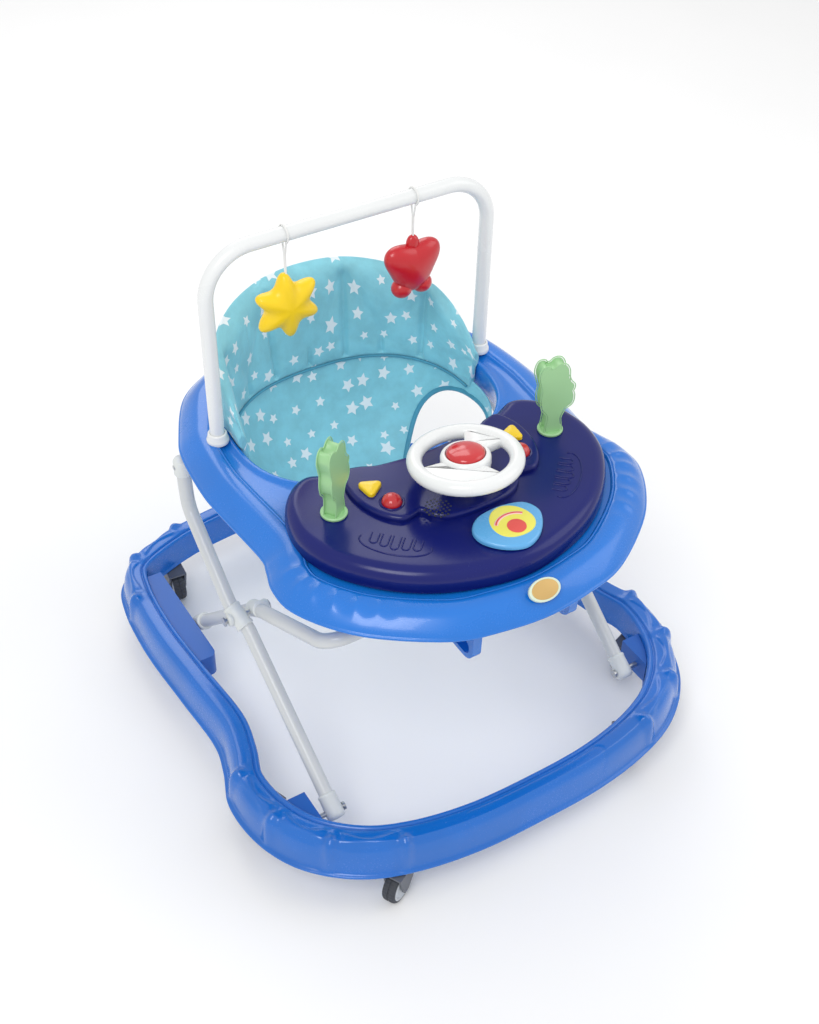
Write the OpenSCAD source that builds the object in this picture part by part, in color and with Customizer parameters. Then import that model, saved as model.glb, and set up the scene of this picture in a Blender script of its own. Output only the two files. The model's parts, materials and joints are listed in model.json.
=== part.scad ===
// Baby walker: a rolling base ring, a folding pair of crossed tube frames, a play tray with a
// toy bar, and a fabric seat. Front of the walker is -Y, the floor is z = 0, X = 0 is the
// plane of symmetry, and the origin is on the floor under the middle of the base ring.

/* [Base ring] */
// Width of the base ring over its lip
base_w = 666; // [630:1:720]
// Length of the base ring over its lip
base_l = 736; // [700:1:800]
// Height of the ring's crown above the floor
ring_top = 107; // [100:1:120]
// Height of the ring's hollow section
ring_h = 48; // [42:1:54]
// Width of the ring's hollow section
ring_w = 42; // [38:1:48]
// Wall thickness of the moulded shells
wall = 3; // [2:0.5:3.5]

/* [Casters] */
// Diameter of a caster wheel
wheel_d = 52; // [44:1:54]
// Width of a caster wheel
wheel_t = 19; // [14:1:22]
// Distance from a caster's swivel axis to its wheel axle
trail = 22; // [16:1:28]
// Diameter of a caster's swivel stem
stem_d = 11; // [8:0.5:13]
// Diameter of a caster's axle
axle_d = 7; // [5:0.5:8]

/* [Tube frames] */
// Outside diameter of the steel tube
tube_d = 19; // [16:0.5:20]
// Wall of the steel tube
tube_wall = 1.2; // [1:0.1:2]
// Diameter of the frame pivot pins
pin_d = 7; // [5:0.5:9]
// Centre radius of the tube bends
bend_r = 45; // [38:1:50]

/* [Tray] */
// Width of the tray over its rim
tray_w = 511; // [480:1:540]
// Length of the tray over its rim
tray_l = 650; // [630:1:680]
// Height of the tray's lower lip above the floor
tray_z = 406; // [404:1:412]
// Width of the seat opening
open_w = 360; // [330:1:370]

/* [Play panel] */
// Height of the panel's skirt
panel_h = 29; // [26:1:34]
// Outside diameter of the steering wheel
steer_d = 140; // [120:1:150]
// Diameter of the steering wheel's rim section
steer_rim = 18; // [14:1:22]
// Lean of the steering column towards the child, in degrees
steer_lean = 7; // [0:1:12]
// Diameter of the round push buttons
button_d = 24; // [18:1:26]

/* [Toy bar] */
// Distance between the bar's two posts
bar_w = 399; // [380:1:404]
// Height of the bar's centre line above the floor
bar_z = 697; // [660:1:740]
// Centre radius of the bar's corners
bar_r = 62; // [50:1:80]
// Point radius of the hanging star
star_r = 45; // [36:1:50]
// Half width of the hanging heart
heart_r = 42; // [34:1:46]

/* [Seat] */
// Height of the backrest above the tray's deck at its middle
back_h = 116; // [90:1:140]
// Thickness of the padded backrest
pad_t = 17; // [12:1:22]
// Height of the seat's bottom above the floor
seat_z = 236; // [210:1:260]

/* [Clearances] */
// Gap on the radius between a turning shaft and its bore
run_gap = 0.06; // [0.03:0.01:0.1]
// Gap between still parts that lie side by side
still_gap = 0.4; // [0.3:0.1:0.8]

/* [Hidden] */
$fn = 48;
tube_r = tube_d / 2;
pin_r = pin_d / 2;
eps = 0.01;

// Frame pivots in the side view, as [y, z]
foot_pivot = [-229, 79];
cross_pivot = [2, 233];
slider_pivot = [153, 84];
tray_pivot = [143, 388];
bar_pivot = [-190, 342];
// How far the two sliding ends travel as the frame folds
slider_travel = 92;
rack_travel = 81;
// Distances of the tubes from the middle plane
foot_x = 233;
leg_low_x = 237;
leg_high_x = 246;
leg_top_x = 242;
front_x = 215;
slider_x = 237;

// Heights worked out from the driving sizes
lip_z = ring_top - ring_h;
cavity_z = ring_top - wall - 1.2;
deck_z = tray_z + 19;
panel_z0 = deck_z + 3.2;
panel_z = panel_z0 + panel_h;
open_y = 88;
open_front = 130;
open_rear = 165;
tray_y = -7;

/* ---- Curves ---- */

// Point on a smooth curve between b and c, with a and d as its neighbours
function smooth_point(a, b, c, d, t) =
  0.5 * (2 * b + (c - a) * t + (2 * a - 5 * b + 4 * c - d) * t * t + (3 * b - a - 3 * c + d) * t * t * t);

// Closed smooth curve through the knots, with per points for each knot
function smooth_loop(knots, per) =
  let (n = len(knots))
  [for (i = [0:n - 1]) for (j = [0:per - 1])
    smooth_point(knots[(i + n - 1) % n], knots[i], knots[(i + 1) % n], knots[(i + 2) % n], j / per)];

// A half outline from the front middle to the rear middle, and its mirror image
function both_sides(half) = concat(half, [for (i = [len(half) - 2:-1:1]) [-half[i][0], half[i][1]]]);

function scaled(knots, w, l, yc) = [for (k = knots) [k[0] * w / 2, k[1] * l / 2 + yc]];
function unit(v) = v / norm(v);

// Inward normal of a closed outline that runs anticlockwise
function inward(path, i) =
  let (n = len(path), t = unit(path[(i + 1) % n] - path[(i + n - 1) % n])) [-t[1], t[0]];

// Outline moved inwards by d
function inset(path, d) = [for (i = [0:len(path) - 1]) path[i] + inward(path, i) * d];

// Faces of a grid of m rings of n points each, closed both ways
function torus_faces(m, n) =
  [for (i = [0:m - 1]) for (j = [0:n - 1])
    let (a = i * n + j, b = i * n + (j + 1) % n, c = ((i + 1) % m) * n + (j + 1) % n, d = ((i + 1) % m) * n + j)
    each [[a, c, b], [a, d, c]]];

// Faces of an open row of m rings of n points each, with both ends capped
function tube_faces(m, n) =
  concat(
    [for (i = [0:m - 2]) for (j = [0:n - 1])
      let (a = i * n + j, b = i * n + (j + 1) % n, c = (i + 1) * n + (j + 1) % n, d = (i + 1) * n + j)
      each [[a, c, b], [a, d, c]]],
    [[for (j = [0:n - 1]) j]],
    [[for (j = [n - 1:-1:0]) (m - 1) * n + j]]);

/* ---- Outlines ---- */

// Lip of the base ring, as shares of its half width and half length
ring_knots = [
  [0, -1], [0.28, -0.99], [0.53, -0.945], [0.73, -0.865], [0.89, -0.73], [0.976, -0.57],
  [1, -0.395], [0.955, -0.25], [0.931, -0.115], [0.952, 0.13], [0.97, 0.42], [0.95, 0.675],
  [0.886, 0.826], [0.7, 0.92], [0.42, 0.98], [0, 1]
];
ring_lip = smooth_loop(both_sides(scaled(ring_knots, base_w, base_l, 0)), 3);

// Rim of the tray, as shares of its half width and half length
tray_knots = [
  [0, -1], [0.235, -0.98], [0.46, -0.932], [0.732, -0.79], [0.888, -0.66], [0.99, -0.514],
  [1, -0.394], [0.967, -0.3], [0.95, -0.22], [0.978, 0.052], [0.986, 0.2], [0.959, 0.42],
  [0.904, 0.555], [0.74, 0.785], [0.5, 0.915], [0.26, 0.98], [0, 1]
];
tray_rim = smooth_loop(both_sides(scaled(tray_knots, tray_w, tray_l, tray_y)), 3);

// Play panel, as half outline points
panel_knots = [
  [0, -282], [60, -272], [114, -249], [160, -212], [194, -164], [205, -115], [196, -68],
  [174, -36], [148, -24], [118, -36], [68, -53], [0, -59]
];
panel_edge = smooth_loop(both_sides(panel_knots), 3);

// Seat opening: a rounded oval whose radius depends on the direction from its middle
function open_radius(a) =
  let (ry = sin(a) < 0 ? open_front : open_rear, n = 2.4)
  pow(pow(abs(cos(a)) / (open_w / 2), n) + pow(abs(sin(a)) / ry, n), -1 / n);
function open_point(a, d) = [0, open_y] + (open_radius(a) - d) * [cos(a), sin(a)];

/* ---- Tube building ---- */

// A round bar along a path of straight runs, with each inner corner bent to radius r_bend. The
// straight runs end a little inside the bends, which are a hair thicker.
module rod(path, r, r_bend) {
  n = len(path);
  turn = [for (i = [0:n - 1]) i == 0 || i == n - 1 ? 0 :
    acos(unit(path[i] - path[i - 1]) * unit(path[i + 1] - path[i]))];
  cut = [for (i = [0:n - 1]) turn[i] == 0 ? 0 : r_bend * tan(turn[i] / 2)];
  for (i = [0:n - 2]) {
    u = unit(path[i + 1] - path[i]);
    stick(path[i] + u * max(0, cut[i] - 1), path[i + 1] - u * max(0, cut[i + 1] - 1), r);
  }
  for (i = [1:1:n - 2]) {
    u = unit(path[i] - path[i - 1]);
    v = unit(path[i + 1] - path[i]);
    side = unit(v - u * (u * v));
    start = path[i] - u * cut[i];
    place(start + side * r_bend, -side, u)
      rotate_extrude(angle = turn[i], $fn = 96) translate([r_bend, 0]) circle(r + 0.05);
  }
}

// A cylinder from a to b
module stick(a, b, r) {
  w = unit(b - a);
  side = abs(w[2]) > 0.9 ? [1, 0, 0] : [0, 0, 1];
  x = unit(cross(side, w));
  place(a, x, cross(w, x)) cylinder(r = r, h = norm(b - a));
}

// Puts its children at p, with their x axis along ex and their y axis along ey
module place(p, ex, ey) {
  ez = cross(ex, ey);
  multmatrix([
    [ex[0], ey[0], ez[0], p[0]],
    [ex[1], ey[1], ez[1], p[1]],
    [ex[2], ey[2], ez[2], p[2]],
    [0, 0, 0, 1]
  ]) children();
}

// A cylinder along X, centred at [x, y, z]
module cross_pin(x, yz, r, length) {
  translate([x, yz[0], yz[1]]) rotate([0, 90, 0]) cylinder(r = r, h = length, center = true);
}

module pair() {
  children();
  mirror([1, 0, 0]) children();
}

/* ---- Base ---- */

// Section of the ring: distance in from the lip, and height under the crown
ring_profile = [
  [0, -ring_h], [0, 3 - ring_h], [4, 4.5 - ring_h], [6, 16 - ring_h], [10, -12], [13, -5],
  [18, -1], [24, 0], [31, -1], [ring_w - 8, -2.6], [ring_w - 4, -2], [ring_w - 1, -4],
  [ring_w, -8], [ring_w, -ring_h],
  [ring_w - wall, -ring_h], [ring_w - wall, -9], [ring_w - wall - 6, -wall - 3],
  [24, -wall - 1], [18, -wall - 3], [10 + wall, -14], [6 + wall, 16 - ring_h],
  [3 + wall, 4 - ring_h], [2 + wall, -ring_h]
];

module base_ring() {
  m = len(ring_lip);
  n = len(ring_profile);
  points = [for (i = [0:m - 1]) for (p = ring_profile)
    let (q = ring_lip[i] + inward(ring_lip, i) * p[0]) [q[0], q[1], ring_top + p[1]]];
  color([0.11, 0.42, 0.75]) polyhedron(points, torus_faces(m, n));
}

// Each caster's swivel axis, and the way its wheel trails at rest
caster_front = [0.541 * base_w / 2, -base_l / 2 + 46];
caster_side = [base_w / 2 - 24, -0.45 * base_l / 2];
caster_rear = [0.64 * base_w / 2, base_l / 2 - 47];
caster_places = [
  [[-caster_front[0], caster_front[1]], 208],
  [caster_front, 75],
  [[-caster_side[0], caster_side[1]], 20],
  [caster_side, 200],
  [[-caster_rear[0], caster_rear[1]], 265],
  [caster_rear, 250]
];

socket_r = stem_d / 2 + 3;
stem_top = ring_top - 17;

module caster_sockets() {
  color([0.1, 0.35, 0.65])
    for (c = caster_places)
      translate([c[0][0], c[0][1], lip_z + 2]) difference() {
        cylinder(r = socket_r, h = ring_top - 6 - lip_z - 2);
        translate([0, 0, -eps]) cylinder(d = stem_d + 2 * run_gap, h = stem_top + 1 - lip_z - 2);
      }
}

module caster_housing(i) {
  c = caster_places[i];
  cheek_y = wheel_t / 2 + 1.2;
  cheek_t = 3;
  roof_z = wheel_d + 1.6;
  color([0.36, 0.38, 0.42])
    translate([c[0][0], c[0][1], 0]) rotate([0, 0, c[1]]) {
      cylinder(d = stem_d, h = stem_top);
      translate([0, 0, roof_z]) cylinder(r = 13, h = lip_z - 1 - roof_z);
      translate([-8, -cheek_y - cheek_t, roof_z])
        cube([trail + 24, 2 * (cheek_y + cheek_t), 3]);
      for (s = [-1, 1])
        translate([0, s * (cheek_y + cheek_t / 2) + cheek_t / 2, 0]) rotate([90, 0, 0])
          linear_extrude(cheek_t) hull() {
            translate([trail, wheel_d / 2]) circle(8);
            translate([-8, roof_z]) square([trail + 24, 3]);
          }
      translate([trail, 0, wheel_d / 2]) rotate([90, 0, 0])
        cylinder(d = axle_d, h = 2 * (cheek_y + cheek_t), center = true);
    }
}

module caster_housing_cut(i) {
  c = caster_places[i];
  difference() {
    caster_housing(i);
    translate([c[0][0], c[0][1], 0]) rotate([0, 0, c[1]])
      translate([0, 0, -eps]) cylinder(d = stem_d + 1, h = wheel_d + 1.6);
  }
}

module caster_wheel(i) {
  c = caster_places[i];
  r = wheel_d / 2;
  w = wheel_t / 2;
  color([0.78, 0.8, 0.82])
    translate([c[0][0], c[0][1], 0]) rotate([0, 0, c[1]])
      translate([trail, 0, r]) rotate([90, 0, 0]) rotate_extrude($fn = 64) polygon([
        [axle_d / 2 + run_gap, -w], [r - 5, -w], [r - 2, -w + 1.2], [r - 0.6, -w + 3.2], [r, -w + 6],
        [r, w - 6], [r - 0.6, w - 3.2], [r - 2, w - 1.2], [r - 5, w], [axle_d / 2 + run_gap, w]
      ]);
}

bracket_x = foot_x + 24;

// Corner blocks inside the ring, where the legs are pinned
module front_brackets() {
  color([0.1, 0.38, 0.7]) pair() difference() {
    translate([0, 0, lip_z + 2]) linear_extrude(ring_top - 11 - lip_z - 2) intersection() {
      polygon(inset(ring_lip, ring_w + still_gap));
      translate([bracket_x, -256]) square([70, 60]);
    }
    cross_pin(bracket_x + 4, foot_pivot, pin_r, 16);
  }
}

// Pins from the brackets through the feet of the legs
module leg_foot_pins() {
  x0 = foot_x - 13;
  x1 = bracket_x + 10;
  color("silver") pair() {
    cross_pin((x0 + x1) / 2, foot_pivot, pin_r - eps, x1 - x0);
    cross_pin(x0 - 1.5, foot_pivot, pin_r + 2, 3);
  }
}

rail_x = slider_x + 12.5;
rail_y0 = 72;
rail_y1 = 262;

// Guides on the inside of the ring, in which the lower ends of the front frame slide back
module side_rails() {
  slot_r = pin_r + 1.2;
  color([0.1, 0.38, 0.7]) pair() difference() {
    translate([0, 0, lip_z + 3]) linear_extrude(ring_top - 8 - lip_z - 3) intersection() {
      polygon(inset(ring_lip, ring_w + still_gap));
      union() {
        translate([rail_x, rail_y0 + 10]) square([60, rail_y1 - rail_y0 - 10]);
        translate([rail_x + 10, rail_y0 + 10]) circle(10);
        translate([rail_x + 10, rail_y0]) square([60, 20]);
      }
    }
    translate([rail_x - 1, slider_pivot[0] - slot_r, slider_pivot[1] - 2 - slot_r])
      cube([10.5, slider_travel + 2 * slot_r + 1, 2 * slot_r + 2]);
  }
}

// Screws that fix the brackets and guides to the ring
module base_screws() {
  color("silver") pair() {
    translate([bracket_x + 12, -214, lip_z - 0.8]) cylinder(r = 4, h = 2.4);
    translate([rail_x + 12, rail_y0 + 26, lip_z + 0.2]) cylinder(r = 4, h = 2.4);
  }
}

/* ---- Tube frames ---- */

leg_path = [
  [foot_x, foot_pivot[0], foot_pivot[1]],
  [leg_low_x, cross_pivot[0] - 17, cross_pivot[1] - 11],
  [leg_high_x, cross_pivot[0] + 17, cross_pivot[1] + 11],
  [leg_top_x, tray_pivot[0] - 6, tray_pivot[1] - 66],
  [leg_top_x, tray_pivot[0], tray_pivot[1] + 8]
];

module leg_tube(side) {
  color([0.76, 0.77, 0.78]) mirror([side < 0 ? 1 : 0, 0, 0]) difference() {
    union() {
      rod([leg_path[0] + unit(leg_path[0] - leg_path[1]) * 6, leg_path[1], leg_path[2], leg_path[3],
        leg_path[4]], tube_r, 34);
    }
    rod([leg_path[0] + unit(leg_path[0] - leg_path[1]) * 7, leg_path[1], leg_path[2], leg_path[3],
      leg_path[4] + [0, 0, 1]], tube_r - tube_wall, 34);
    cross_pin(foot_x, foot_pivot, pin_r + run_gap, 40);
    cross_pin(leg_high_x, cross_pivot, pin_r + run_gap, 60);
    cross_pin(leg_top_x, tray_pivot, pin_r + run_gap, 40);
  }
}

// Plastic cups over the feet of the legs
module leg_foot_caps() {
  u = unit(leg_path[1] - leg_path[0]);
  p = leg_path[0];
  color([0.88, 0.89, 0.9]) pair() difference() {
    stick(p - u * 12, p + u * 20, tube_r + 2.4);
    stick(p - u * 6, p + u * 21, tube_r + 0.02);
    cross_pin(foot_x, foot_pivot, pin_r + run_gap, 40);
  }
}

// Plastic cups over the tops of the legs
module leg_top_caps() {
  p = leg_path[4];
  color([0.88, 0.89, 0.9]) pair() difference() {
    translate([p[0], p[1], tray_pivot[1] - 13]) cylinder(r = tube_r + 2, h = 24);
    translate([p[0], p[1], tray_pivot[1] - 14]) multmatrix([
      [1, 0, 0, 0], [0, 1, 0, 0], [0, 0, 1, 0], [0, 0, 0, 1]]) cylinder(r = tube_r + 1.2, h = 22.1);
    cross_pin(leg_top_x, tray_pivot, pin_r + run_gap, 40);
  }
}

// Half sleeves that keep the crossed tubes apart, on the outside of each leg
module leg_saddles() {
  a = leg_path[1];
  b = leg_path[2];
  u = unit(b - a);
  m = (a + b) / 2;
  color([0.86, 0.88, 0.88]) pair() difference() {
    union() {
      stick(m - u * 17, m + u * 17, tube_r + 4);
      stick(m - u * 17, m - u * 11, tube_r + 5.5);
      stick(m + u * 11, m + u * 17, tube_r + 5.5);
      cross_pin(leg_high_x + 7, cross_pivot, 11, 14);
    }
    rod([leg_path[0], leg_path[1], leg_path[2], leg_path[3]], tube_r + 0.1, 34);
    cross_pin(leg_high_x, cross_pivot, pin_r + run_gap, 70);
    translate([leg_low_x - 50, -100, 100]) cube([50, 300, 300]);
  }
}

front_path = [
  [slider_x, slider_pivot[0], slider_pivot[1]],
  [front_x, cross_pivot[0] + 14, cross_pivot[1] - 13.5],
  [front_x, cross_pivot[0] - 14, cross_pivot[1] + 8],
  [front_x, bar_pivot[0], bar_pivot[1]]
];

function flipped(p) = [-p[0], p[1], p[2]];

module front_frame() {
  lead = unit(front_path[0] - front_path[1]);
  half = [front_path[0] + lead * 4, front_path[1], front_path[2], front_path[3]];
  whole = concat(half, [for (i = [3:-1:0]) flipped(half[i])]);
  inner = concat([half[0] + lead], [half[1], half[2], half[3]]);
  bore = concat(inner, [for (i = [3:-1:0]) flipped(inner[i])]);
  color([0.76, 0.77, 0.78]) difference() {
    rod(whole, tube_r, bend_r / 1.6);
    rod(bore, tube_r - tube_wall, bend_r / 1.6);
    pair() cross_pin(front_x, cross_pivot, pin_r + run_gap, 30);
    pair() cross_pin(slider_x, slider_pivot, pin_r + run_gap, 40);
  }
}

// End caps with the stub pins that slide in the side rails
module slider_ends() {
  u = unit(front_path[1] - front_path[0]);
  p = front_path[0];
  color([0.86, 0.88, 0.88]) pair() {
    difference() {
      stick(p - u * 9, p + u * 16, tube_r + 2);
      stick(p - u * 4, p + u * 17, tube_r + 0.02);
      cross_pin(slider_x, slider_pivot, pin_r, 40);
    }
    cross_pin((slider_x - 14 + rail_x + 8) / 2, slider_pivot, pin_r - eps, rail_x + 8 - slider_x + 14);
  }
}

// Half sleeves on the inside of the front frame at the crossing
module frame_saddles() {
  a = front_path[1];
  b = front_path[2];
  u = unit(b - a);
  m = [front_x, cross_pivot[0], cross_pivot[1]];
  color([0.86, 0.88, 0.88]) pair() difference() {
    union() {
      stick(m - u * 15, m + u * 15, tube_r + 3.5);
      cross_pin(front_x - 8, cross_pivot, 10, 12);
    }
    rod([front_path[0], front_path[1], front_path[2], front_path[3]], tube_r + 0.1, bend_r / 1.6);
    cross_pin(front_x, cross_pivot, pin_r + run_gap, 70);
    translate([front_x, -100, 100]) cube([50, 300, 300]);
  }
}

// Rivets through both tubes at the crossing
module cross_rivets() {
  x0 = front_x - 15.5;
  x1 = leg_high_x + 15.5;
  color("silver") pair() {
    cross_pin((x0 + x1) / 2, cross_pivot, pin_r, x1 - x0);
    cross_pin(x0 - 1, cross_pivot, pin_r + 3, 2);
    cross_pin(x1 + 1, cross_pivot, pin_r + 3, 2);
  }
}

/* ---- Tray ---- */

// Section of the tray: 0 for a distance in from the rim or 1 for a distance out from the seat
// opening, that distance, and the height over the lip
tray_profile = [
  [0, 0, 0], [0, 0, 4], [0, 5, 9], [0, 12, 15.5], [0, 20, 22], [0, 30, 25], [0, 39, 23], [0, 46, 19],
  [1, 12, 19], [1, 6, 21.5], [1, 1.5, 20.5], [1, 0, 17], [1, 0, -2], [1, wall, -2],
  [1, wall, 15], [1, 11, 16],
  [0, 46, 16], [0, 39, 20], [0, 30, 22], [0, 21, 19], [0, 14, 12.5], [0, 7, 6], [0, wall, 1], [0, wall, 0]
];

module tray_shell() {
  m = len(tray_rim);
  n = len(tray_profile);
  points = [for (i = [0:m - 1]) for (p = tray_profile)
    let (a = atan2(tray_rim[i][1] - open_y, tray_rim[i][0]))
    let (q = p[0] == 0 ? tray_rim[i] + inward(tray_rim, i) * p[1] : open_point(a, -p[1]))
    [q[0], q[1], tray_z + p[2]]];
  color([0.14, 0.44, 0.76]) polyhedron(points, torus_faces(m, n));
}

bracket_in = leg_top_x - 34;

// Hangers under the rear of the tray, which carry the tops of the legs
module hinge_brackets() {
  color([0.12, 0.4, 0.72]) pair() difference() {
    translate([bracket_in, 0, 0]) rotate([90, 0, 90]) linear_extrude(10) hull() {
      translate(tray_pivot) circle(12);
      translate([tray_pivot[0] - 20, tray_z + 16]) square([26, 3.5]);
    }
    cross_pin(bracket_in + 5, tray_pivot, pin_r, 30);
  }
}

// Pins from the hangers through the tops of the legs
module hinge_pins() {
  x0 = bracket_in - 2;
  x1 = leg_top_x + 12;
  color("silver") pair() {
    cross_pin((x0 + x1) / 2, tray_pivot, pin_r - eps, x1 - x0);
    cross_pin(x0 - 1, tray_pivot, pin_r + 2.5, 2);
  }
}

// Slotted plates under the front of the tray, in which the cross bar of the front frame slides
module height_rack() {
  slot_r = tube_r + 0.9;
  top = tray_z + 15;
  color([0.2, 0.22, 0.26]) pair() translate([64, 0, 0]) rotate([90, 0, 90]) linear_extrude(12) difference() {
    hull() {
      translate([bar_pivot[0] + 18, top - 2]) square([4, 2]);
      translate([bar_pivot[0] - rack_travel - 20, top - 2]) square([4, 2]);
      translate([bar_pivot[0], bar_pivot[1]]) circle(slot_r + 8);
      translate([bar_pivot[0] - rack_travel, bar_pivot[1]]) circle(slot_r + 8);
    }
    hull() {
      translate([bar_pivot[0], bar_pivot[1]]) circle(slot_r);
      translate([bar_pivot[0], bar_pivot[1] - 1.4]) circle(slot_r);
      translate([bar_pivot[0] - rack_travel, bar_pivot[1]]) circle(slot_r);
      translate([bar_pivot[0] - rack_travel, bar_pivot[1] - 1.4]) circle(slot_r);
    }
  }
}

// Squeeze button that frees the rack, under the tray's front edge
module release_button() {
  color([0.85, 0.2, 0.2]) translate([0, bar_pivot[0] - 62, tray_z - 14]) {
    linear_extrude(14) hull() {
      translate([-22, 0]) circle(9);
      translate([22, 0]) circle(9);
    }
    translate([0, 0, 14]) cylinder(r = 5, h = 6);
  }
}

/* ---- Play panel ---- */

yellow_place = [108, -96];
red_place = [98, -130];
song_place = [0, -229];
figure_place = [156, -106];
steer_place = [0, -146];
steer_z = panel_z + 46;
button_z = panel_z - 8;

module triangle(r, round_r) {
  hull() for (a = [90, 210, 330]) translate(r * [cos(a), sin(a)]) circle(round_r, $fn = 24);
}

// Top moulding of the play panel, with holes for all that passes through it
module play_panel() {
  color([0.11, 0.16, 0.42]) difference() {
    translate([0, 0, panel_z0]) linear_extrude(panel_h) polygon(panel_edge);
    translate([0, 0, panel_z0 - 1]) linear_extrude(panel_h - wall + 1) polygon(inset(panel_edge, wall));
    pair() translate([red_place[0], red_place[1], panel_z - 10]) cylinder(d = button_d + 0.6, h = 20);
    pair() translate([yellow_place[0], yellow_place[1], panel_z - 10]) linear_extrude(20) triangle(8, 5.4);
    pair() translate([figure_place[0], figure_place[1], panel_z - 10]) cylinder(r = 4 + run_gap, h = 20);
    translate([song_place[0], song_place[1], panel_z - 10]) cylinder(r = 8.4, h = 20);
    translate([steer_place[0], steer_place[1], panel_z - 10]) cylinder(r = 12.4, h = 20);
    for (i = [0:3]) for (j = [0:3])
      translate([-59 + 5 * i, -168 + 5 * j, panel_z - 10]) cylinder(r = 1.2, h = 20);
  }
}

door_size = [64, 38];
door_place = [60, -216];

module door_outline(grow) {
  translate(door_place - door_size / 2 - [grow, grow]) square(door_size + 2 * [grow, grow]);
}

module panel_base() {
  color([0.16, 0.2, 0.42]) translate([0, 0, panel_z0 + 0.4]) linear_extrude(2.2) difference() {
    polygon(inset(panel_edge, wall + still_gap));
    door_outline(still_gap);
  }
}

module battery_door() {
  color([0.16, 0.2, 0.42]) translate([0, 0, panel_z0 + 0.4]) linear_extrude(2.2) door_outline(0);
}

module batteries() {
  color("dimgray") for (s = [-1, 1])
    translate([door_place[0] - 25, door_place[1] + s * 8, panel_z0 + 11]) rotate([0, 90, 0]) {
      cylinder(d = 14.4, h = 49);
      translate([0, 0, 49]) cylinder(d = 5.4, h = 1.4);
    }
}

module circuit_board() {
  color("darkgreen") translate([0, 0, panel_z0 + 9]) linear_extrude(1.6) difference() {
    translate([-128, -150]) square([256, 68]);
    translate(steer_place) circle(14);
    translate([-50, -156]) circle(24);
  }
}

module speaker() {
  color("black") translate([-50, -156, panel_z0 + 12]) {
    cylinder(r1 = 12, r2 = 20, h = 8);
    translate([0, 0, 8]) cylinder(r = 21, h = 3);
    translate([0, 0, -6]) cylinder(r = 12, h = 6);
  }
}

// Fixed post of the steering wheel
module steering_column() {
  color([0.85, 0.86, 0.87]) {
    translate([steer_place[0], steer_place[1], panel_z + 0.2]) cylinder(r1 = 24, r2 = 17, h = 13);
    translate([steer_place[0], steer_place[1], steer_z]) rotate([-steer_lean, 0, 0]) {
      translate([0, 0, -38]) cylinder(r = 11, h = 25);
      translate([0, 0, -20]) cylinder(r = 6, h = 20);
    }
  }
}

horn_r = 23.5;

module steering_wheel() {
  ring_mid = (steer_d - steer_rim) / 2;
  color([0.93, 0.94, 0.94])
    translate([steer_place[0], steer_place[1], steer_z]) rotate([-steer_lean, 0, 0]) difference() {
      union() {
        rotate_extrude($fn = 72) translate([ring_mid, 0]) circle(steer_rim / 2);
        translate([0, 0, -12]) cylinder(r = horn_r + 6, h = 17);
        for (a = [0, 120, 240]) rotate([0, 0, a + 90])
          translate([horn_r, -9, -7]) cube([ring_mid - horn_r, 18, 9]);
      }
      translate([0, 0, -13]) cylinder(r = 6 + run_gap, h = 14);
      translate([0, 0, 1]) cylinder(r = horn_r + 0.4, h = 10);
    }
}

module horn_button() {
  color([0.78, 0.16, 0.2])
    translate([steer_place[0], steer_place[1], steer_z]) rotate([-steer_lean, 0, 0]) {
      translate([0, 0, 3.8]) cylinder(r = horn_r, h = 4);
      translate([0, 0, 7.8]) cylinder(r1 = horn_r, r2 = horn_r - 7, h = 4);
    }
}

module yellow_button(side) {
  color([0.93, 0.8, 0.05]) translate([side * yellow_place[0], yellow_place[1], button_z]) {
    linear_extrude(14) triangle(8, 5);
    linear_extrude(4) triangle(8, 7);
  }
}

module red_button(side) {
  color([0.8, 0.2, 0.22]) translate([side * red_place[0], red_place[1], button_z]) {
    cylinder(d = button_d, h = 11);
    cylinder(d = button_d + 4, h = 4);
    translate([0, 0, 11]) cylinder(d1 = button_d, d2 = button_d - 12, h = 5);
  }
}

// Rounded wedge plate at the front of the panel
module song_plate() {
  color([0.42, 0.68, 0.88]) translate([song_place[0], song_place[1], panel_z + 1.8]) {
    linear_extrude(4.5) hull() {
      translate([-20, 10]) circle(22);
      translate([20, 10]) circle(22);
      translate([0, -22]) circle(17);
    }
    translate([0, 0, -8]) cylinder(r = 8, h = 9);
  }
}

// A spinning green figure: a standing creature with a crest and a curled tail
module figure(side) {
  color([0.62, 0.78, 0.6]) translate([side * figure_place[0], figure_place[1], panel_z]) {
    translate([0, 0, 0.3]) cylinder(r = 16.5, h = 4);
    translate([0, 0, -7]) cylinder(r = 4, h = 8);
    translate([0, 0, 4]) cylinder(r = 11, h = 6);
    rotate([90, 0, -20]) translate([0, 10, -9]) linear_extrude(18) {
      hull() {
        translate([0, 4]) circle(9);
        translate([2, 34]) circle(14);
      }
      hull() {
        translate([2, 34]) circle(14);
        translate([-2, 70]) circle(15);
      }
      hull() {
        translate([-2, 82]) circle(14);
        translate([-11, 74]) circle(9);
      }
      translate([15, 44]) circle(8);
      translate([13, 62]) circle(7);
    }
  }
}

// Blank oval badge on the tray's front edge
module tray_badge() {
  tilt = 36;
  color([0.8, 0.7, 0.5])
    translate([0, tray_y - tray_l / 2 + 17.5, tray_z + 25]) rotate([tilt, 0, 0]) linear_extrude(2)
      polygon([for (a = [0:10:350]) [21 * cos(a), 14 * sin(a)]]);
}

/* ---- Toy bar ---- */

bar_y = 118.5;
bar_foot = tray_z + 25.4;

module toy_bar() {
  color([0.88, 0.89, 0.9])
    difference() {
      rod([[-bar_w / 2, bar_y, bar_foot], [-bar_w / 2, bar_y, bar_z], [bar_w / 2, bar_y, bar_z],
        [bar_w / 2, bar_y, bar_foot]], tube_r, bar_r);
      rod([[-bar_w / 2, bar_y, bar_foot - 1], [-bar_w / 2, bar_y, bar_z], [bar_w / 2, bar_y, bar_z],
        [bar_w / 2, bar_y, bar_foot - 1]], tube_r - tube_wall, bar_r);
    }
}

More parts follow.
